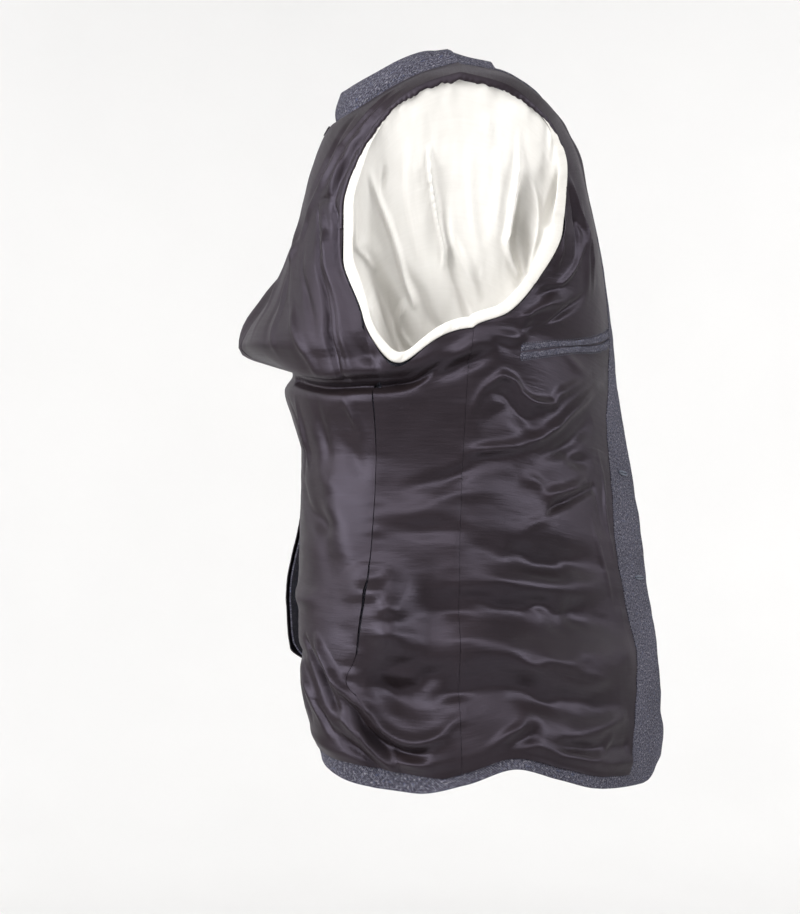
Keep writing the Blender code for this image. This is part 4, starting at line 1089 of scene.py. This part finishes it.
def stitches(name, a, v, side):
    """A row of small raised stitches on the lining, each a little capsule along the line of places."""
    points, quads, uv = [], [], []
    outward = outward_of(a, v, side)
    middle = on_cloth(a, v, LAYER + LINING, side)
    ways = unit(np.gradient(middle, axis=0))
    for p, way, out in zip(middle, ways, outward):
        beside = np.cross(way, out)
        first = len(points)
        for t in (-1, -.55, 0, .55, 1):
            r = STITCH_RADIUS * (1 - abs(t) ** 4) + 1e-5
            for k in range(6):
                angle = 2 * pi * k / 6
                points.append(p + way * STITCH / 2 * t + (beside * cos(angle) + out * sin(angle)) * r)
                uv.append((t * STITCH, k * STITCH_RADIUS))
        for ring in range(4):
            for k in range(6):
                i, j = first + ring * 6 + k, first + ring * 6 + (k + 1) % 6
                quads.append((i, j, j + 6, i + 6)[::-side])
    mesh_piece(name, np.array(points) * (side, 1, 1), np.array(quads), np.array(uv), "thread")


def buttonhole(name, a, v, side):
    """A closed buttonhole on the facing: one raised ring of thread round a slit, drawn as a thin near-black
    strip of painted shade.
    """
    length, lip, half_open = .021, .0010, .0013
    per_a = GIRTH[1] / SIDE_FRONT      # metres for 1 of a, on the front
    middle = a + .085
    n, m = 64, 10
    t = np.linspace(0, 2 * pi, n, endpoint=False)
    x = np.cos(t) * length / 2
    y = np.sign(np.sin(t)) * np.abs(np.sin(t)) ** .5 * half_open
    rings = []
    for k in range(m):
        angle = 2 * pi * k / m
        rope = 1 + .22 * np.sin(t * 46 + angle)
        da = (x + np.cos(t) * lip * cos(angle) * rope) / per_a
        dv = (y + np.sin(t) * lip * cos(angle) * rope) / LENGTH
        off = LAYER + TWEED + .0002 + lip * .8 * (1 + sin(angle)) * rope
        rings.append(on_cloth(middle + da, v + dv, off, side))
    rings = np.stack(rings, axis=1)
    index = np.arange(n * m).reshape(n, m)
    index = np.concatenate((index, index[:1]))
    quads = grid_faces(np.concatenate((index, index[:, :1]), axis=1))
    onward, around = np.meshgrid(np.arange(n) * .001, np.arange(m) * .0005, indexing="ij")
    uv = np.stack((onward, around), axis=-1).reshape(-1, 2)
    mesh_piece(name, rings.reshape(-1, 3) * (side, 1, 1), quads, uv, "thread")
    reach = length * .46 / per_a
    slit = np.linspace(middle - reach, middle + reach, 12)
    # the slit: a near-black strip of painted shade, for the shade inside it
    ribbon(name + "_slit", slit, np.full(12, v), .0007, .0001, .0008, side, "gap")


# A button's outline from its back to its dished face, as shares of its thickness and radius
BUTTON_PROFILE = (
    (0, .86), (.12, .96), (.5, 1.0), (.85, .97), (1.0, .88), (.98, .80), (.72, .70), (.62, .5), (.62, .02),
)
BUTTON_OFF = 0.0022      # how far in from the shell's face it starts; no thread crosses the gap


def button(name, v, side):
    """A plain dished disc on the shell's face, inside the right front. It has no holes."""
    inward = -outward_of(BUTTON_A, v, side)
    across = unit(np.cross((0.0, 0.0, 1.0), inward))
    up = np.cross(inward, across)
    n, m = 48, len(BUTTON_PROFILE) + 1
    t = np.linspace(0, 2 * pi, n, endpoint=False)[:, None]
    start = on_cloth(BUTTON_A, v, -TWEED - LAYER - SHELL_BACK_OFF - BUTTON_OFF, side)
    spokes = across * np.cos(t) + up * np.sin(t)
    rings = []
    for depth, scale in BUTTON_PROFILE:
        rings.append(start + inward * BUTTON_THICK * depth + spokes * BUTTON_R * scale)
    grid = np.stack([start + (rings[0] - start) * .02] + rings)
    index = np.arange(m * n).reshape(m, n)
    caps = []
    for ring in (0, m - 1):
        for k in range(1, n // 2):
            q = (ring * n + k - 1, ring * n + k, ring * n + n - 1 - k, ring * n + n - k)
            caps.append(q if ring else q[::-1])
    quads = np.concatenate((grid_faces(np.concatenate((index, index[:, :1]), axis=1)), np.array(caps)))
    points = grid.reshape(-1, 3)
    made = mesh_piece(name, points * (side, 1, 1), quads, points[:, 1:], "horn")
    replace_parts(made, name)


def tab():
    """A small plain tab at the back of the neck."""
    n = count(60)
    x = np.linspace(-TAB, TAB, n)
    a, v = np.broadcast_arrays(CENTRE_BACK - np.abs(x) / BACK_WIDTH, np.linspace(.262, .276, 9)[:, None])
    grids = []
    for off in (LAYER + LINING + .0016, LAYER + LINING + .0001):
        grid = on_cloth(a, v, off, -1)
        grid[..., 0] = x
        grids.append(grid)
    made = shell("neck_tab", grids[0], grids[1], 1, "dark satin")
    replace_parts(made, "neck_tab")


# ---------------------------------------------------------------- materials
class Nodes:
    """A material's node tree, with short ways to add to it."""

    def __init__(self, name, roughness, **settings):
        self.material = bpy.data.materials.new(name)
        self.material.use_nodes = True
        self.tree = self.material.node_tree
        self.shader = self.tree.nodes["Principled BSDF"]
        self.set("Roughness", roughness)
        for socket, value in settings.items():
            self.set(socket.replace("_", " "), value)
        tangent = self.add("ShaderNodeTangent", direction_type="UV_MAP", uv_map="UVMap")
        self.link(tangent.outputs[0], "Tangent")
        self.uv = self.add("ShaderNodeTexCoord").outputs["UV"]
        self.place = self.add("ShaderNodeTexCoord").outputs["Object"]

    def set(self, socket, value):
        self.shader.inputs[socket].default_value = value

    def add(self, kind, inputs=(), **settings):
        node = self.tree.nodes.new(kind)
        for key, value in settings.items():
            setattr(node, key, value)
        for socket, value in dict(inputs).items():
            if isinstance(value, bpy.types.NodeSocket):
                self.tree.links.new(value, node.inputs[socket])
            else:
                node.inputs[socket].default_value = value
        return node

    def link(self, output, socket):
        self.tree.links.new(output, self.shader.inputs[socket])

    def scaled(self, source, scale, turn=0.0):
        inputs = {"Vector": source, "Scale": scale, "Rotation": (0, 0, turn)}
        return self.add("ShaderNodeMapping", inputs).outputs[0]

    def noise(self, source, scale, size=1.0, detail=2.0, rough=0.5):
        inputs = {"Vector": self.scaled(source, scale), "Scale": size, "Detail": detail, "Roughness": rough}
        return self.add("ShaderNodeTexNoise", inputs).outputs["Fac"]

    def waves(self, source, scale, turn=0.0, blur=0.0):
        where = self.scaled(source, scale, turn)
        inputs = {"Vector": where, "Scale": 1.0, "Distortion": blur, "Detail": 1.0, "Detail Scale": 2.0}
        return self.add("ShaderNodeTexWave", inputs, wave_profile="SIN").outputs["Fac"]

    def maths(self, kind, first, second):
        return self.add("ShaderNodeMath", {0: first, 1: second}, operation=kind).outputs[0]

    def mixed(self, first, share, second, rest):
        return self.maths("ADD", self.maths("MULTIPLY", first, share), self.maths("MULTIPLY", second, rest))

    def ramp(self, source, *stops):
        node = self.add("ShaderNodeValToRGB", {"Fac": source})
        elements = node.color_ramp.elements
        while len(elements) < len(stops):
            elements.new(0.5)
        for element, (place, colour) in zip(elements, stops):
            element.position = place
            element.color = (*colour, 1)
        return node.outputs["Color"]

    def blend(self, amount, first, second, kind="MIX"):
        node = self.add("ShaderNodeMix", {"Factor": amount}, data_type="RGBA", blend_type=kind)
        for socket, value in ((node.inputs[6], first), (node.inputs[7], second)):
            if isinstance(value, bpy.types.NodeSocket):
                self.tree.links.new(value, socket)
            else:
                socket.default_value = (*value, 1)
        return node.outputs[2]

    def bump(self, height, strength, distance, under=None):
        inputs = {"Height": height, "Strength": strength, "Distance": distance}
        if under is not None:
            inputs["Normal"] = under
        return self.add("ShaderNodeBump", inputs).outputs["Normal"]


def satin(name, dark, light, roughness, wrinkle, sheen, sheen_tint, level, tint):
    """A smooth satin lining: long warp threads, soft wrinkles and a slightly uneven gloss."""
    m = Nodes(name, roughness, Anisotropic=0.65, Sheen_Weight=sheen, Sheen_Roughness=0.35,
              Sheen_Tint=(*sheen_tint, 1), Specular_IOR_Level=level, Specular_Tint=(*tint, 1))
    cloud = m.noise(m.place, (1, 1, 1), 14, 3)
    streak = m.noise(m.uv, (16, 420, 1), 1, 3, .65)
    m.link(m.ramp(m.mixed(cloud, .55, streak, .45), (.30, dark), (.70, light)), "Base Color")
    gloss = m.mixed(cloud, .6, streak, .4)
    rough = m.add("ShaderNodeMapRange", {"Value": gloss, "From Min": .30, "From Max": .70,
                                         "To Min": roughness - .07, "To Max": roughness + .07})
    m.link(rough.outputs[0], "Roughness")
    soft = m.bump(m.noise(m.uv, (24, 150, 1), 1, 4, .6), wrinkle, .0012)
    soft = m.bump(streak, .22, .00025, soft)
    warp = m.waves(m.uv, (1500, 0, 0), 0, .3)
    weft = m.waves(m.uv, (0, 1500, 0), 0, .3)
    m.link(m.bump(m.mixed(warp, .7, weft, .3), .12, .00006, soft), "Normal")
    return m.material


def tweed_cloth():
    """Charcoal-navy tweed: a fine twill of dark and pale yarns, with pale and blue flecks."""
    m = Nodes("tweed", 0.95, Sheen_Weight=0.02, Sheen_Roughness=0.6, Sheen_Tint=(.74, .72, .80, 1),
              Specular_IOR_Level=0.06)
    twill = m.waves(m.uv, (190, 190, 1), pi / 4, 2.2)
    yarn = m.noise(m.uv, (430, 500, 1), 1, 3, .7)
    fleck = m.noise(m.uv, (320, 420, 1), 1, 2, .7)
    blue = m.noise(m.uv, (200, 260, 1), 1, 2, .7)
    cloud = m.noise(m.place, (1, 1, 1), 22, 3)
    base = m.ramp(m.mixed(twill, .16, yarn, .84),
                  (.35, (.009, .010, .016)), (.50, (.045, .044, .060)), (.63, (.130, .126, .159)))
    pale = m.ramp(fleck, (.58, (0, 0, 0)), (.66, (1, 1, 1)))
    with_pale = m.blend(m.maths("MULTIPLY", pale, .42), base, (.36, .35, .38))
    spot = m.ramp(blue, (.62, (0, 0, 0)), (.72, (1, 1, 1)))
    coloured = m.blend(m.maths("MULTIPLY", spot, .5), with_pale, (.065, .085, .170))
    shade = m.ramp(cloud, (.30, (.82, .82, .82)), (.70, (1, 1, 1)))
    m.link(m.blend(1.0, coloured, shade, "MULTIPLY"), "Base Color")
    rough = m.bump(m.noise(m.uv, (700, 700, 1), 1, 3, .65), .55, .0006)
    m.link(m.bump(twill, .35, .0003, rough), "Normal")
    return m.material


def horn():
    m = Nodes("horn", 0.32, Coat_Weight=0.25, Coat_Roughness=0.2)
    streak = m.noise(m.place, (160, 160, 40), 1, 4, .6)
    m.link(m.ramp(streak, (.30, (.016, .011, .009)), (.70, (.075, .048, .034))), "Base Color")
    m.link(m.bump(streak, .1, .0002), "Normal")
    return m.material


def thread():
    m = Nodes("thread", 0.6, Sheen_Weight=0.2)
    twist = m.waves(m.uv, (900, 900, 1), pi / 4)
    m.link(m.ramp(twist, (.2, (.020, .026, .045)), (.8, (.060, .075, .115))), "Base Color")
    return m.material


# Near-black painted shade, laid in a buttonhole's slit
def gap():
    m = Nodes("gap", 0.9)
    cloud = m.noise(m.place, (1, 1, 1), 300)
    m.link(m.ramp(cloud, (.3, (.004, .005, .008)), (.7, (.010, .012, .018))), "Base Color")
    return m.material


def backdrop():
    m = Nodes("backdrop", 0.95, Specular_IOR_Level=0.1)
    cloud = m.noise(m.place, (1, 1, 1), 2)
    m.link(m.ramp(cloud, (.3, (.86, .855, .85)), (.7, (.88, .875, .87))), "Base Color")
    return m.material


WARM_WHITE, WHITE = (1, .98, .95), (1, 1, 1)
CLOTHS = {
    "dark satin": satin("dark_satin", (.0080, .0057, .0061), (.0140, .0098, .0108), .46, .30,
                        .02, (.85, .78, .95), .31, (.84, .76, 1)),
    # the border's satin is the pale satin made darker: painted shade
    "binding_painted_shade": satin("binding_painted_shade", (.545, .527, .494), (.608, .591, .560), .60, .45,
                     .10, WARM_WHITE, .30, WHITE),
    "pale satin": satin("pale_satin", (.575, .561, .531), (.628, .614, .588), .46, .22,
                        .10, WARM_WHITE, .45, WHITE),
    "tweed": tweed_cloth(),
    "horn": horn(),
    "thread": thread(),
    # painted shade for the buttonhole slits
    "gap": gap(),
}
CLOTHS["tweed inside"] = CLOTHS["tweed"]


# ---------------------------------------------------------------- the room
def studio():
    """A pale sweep behind and below, soft boxes round the camera's side, and two that light the sweep."""
    far, near, low, high, bend = 4.8, -6.0, -1.46, 5.0, 1.2
    line = [(near, low), (far - bend, low)]
    for t in np.linspace(0, pi / 2, 24)[1:]:
        line.append((far - bend + bend * sin(t), low + bend - bend * cos(t)))
    line += [(far, high)]
    ys = (-7.0, 7.0)
    points = [(x, y, z) for y in ys for x, z in line]
    n = len(line)
    faces = [(k, k + 1, n + k + 1, n + k) for k in range(n - 1)]
    mesh = bpy.data.meshes.new("studio_sweep")
    mesh.from_pydata(points, [], faces)
    mesh.polygons.foreach_set("use_smooth", np.ones(len(faces), bool))
    mesh.materials.append(backdrop())
    put("studio_sweep", mesh)

    def box_light(name, place, target, size, power, colour=(1, 1, 1), spread=pi):
        data = bpy.data.lights.new(name, "AREA")
        data.shape = "RECTANGLE"
        data.size, data.size_y = size
        data.energy = power
        data.color = colour
        data.spread = spread
        made = put(name, data)
        made.location = place
        made.rotation_euler = (Vector(target) - Vector(place)).to_track_quat("-Z", "Y").to_euler()

    middle = (0, 0, -.35)
    box_light("key_box", (-2.4, .3, 1.45), middle, (2.4, .9), 17.5, (1, .985, .97), radians(100))
    box_light("left_box", (-1.5, 2.3, .2), middle, (1.4, 1.8), 45, spread=radians(110))
    box_light("right_box", (-1.3, -2.5, .2), middle, (.7, 1.2), 22, spread=radians(110))
    box_light("top_box", (.2, 0, 1.9), middle, (1.4, 1.4), 7)
    box_light("front_box", (-3.5, .2, 1.3), middle, (1.8, 1.0), 8, spread=radians(110))
    box_light("back_left", (2.0, 3.2, 1.2), (far, .8, -.1), (1.2, 2.4), 60)
    box_light("back_right", (2.0, -3.2, 1.2), (far, -.8, -.1), (1.2, 2.4), 60)

    world = bpy.data.worlds.new("studio")
    world.use_nodes = True
    tree = world.node_tree
    place = tree.nodes.new("ShaderNodeTexCoord")
    split = tree.nodes.new("ShaderNodeSeparateXYZ")
    ramp = tree.nodes.new("ShaderNodeValToRGB")
    tree.links.new(place.outputs["Generated"], split.inputs[0])
    tree.links.new(split.outputs["Z"], ramp.inputs["Fac"])
    tree.links.new(ramp.outputs["Color"], tree.nodes["Background"].inputs["Color"])
    stops = ramp.color_ramp.elements
    stops.new(0.5)
    for stop, height, level in zip(stops, (.0, .45, .85), (.14, .24, .50)):
        stop.position = height
        stop.color = (level, level, level, 1)
    tree.nodes["Background"].inputs["Strength"].default_value = 1.0
    bpy.context.scene.world = world
    bpy.context.scene.view_settings.view_transform = "Standard"


def camera():
    """Level with the coat's middle, square to its left side."""
    data = bpy.data.cameras.new("camera")
    data.lens, data.sensor_width = 111.5, 36
    data.clip_end = 20
    made = put("camera", data)
    made.location = (-3.0, .0106, -.410)
    made.rotation_euler = (pi / 2, 0, -pi / 2)
    bpy.context.scene.camera = made


# ---------------------------------------------------------------- making it
camera()
studio()
for side, word, scale in ((-1, "left", 1.0), (1, "right", 0.6)):
    half_body(side, word, scale)
    border(side, f"armhole_border_{word}", scale)
    edge_roll(side, word, scale)
    sleeve(side, word, True, scale)
    sleeve(side, word, False, scale)
collar("upper_collar", PIECE / 2, PIECE / 2 + TWEED, "tweed")
collar("under_collar", -PIECE / 2 - TWEED, -PIECE / 2, "tweed inside")
pocket(-1)
tab()
for word, v, a in zip(("upper", "lower"), BUTTON_V, BUTTONHOLE_A):
    button(f"button_{word}", v, 1)
    buttonhole(f"buttonhole_{word}", a, v, -1)
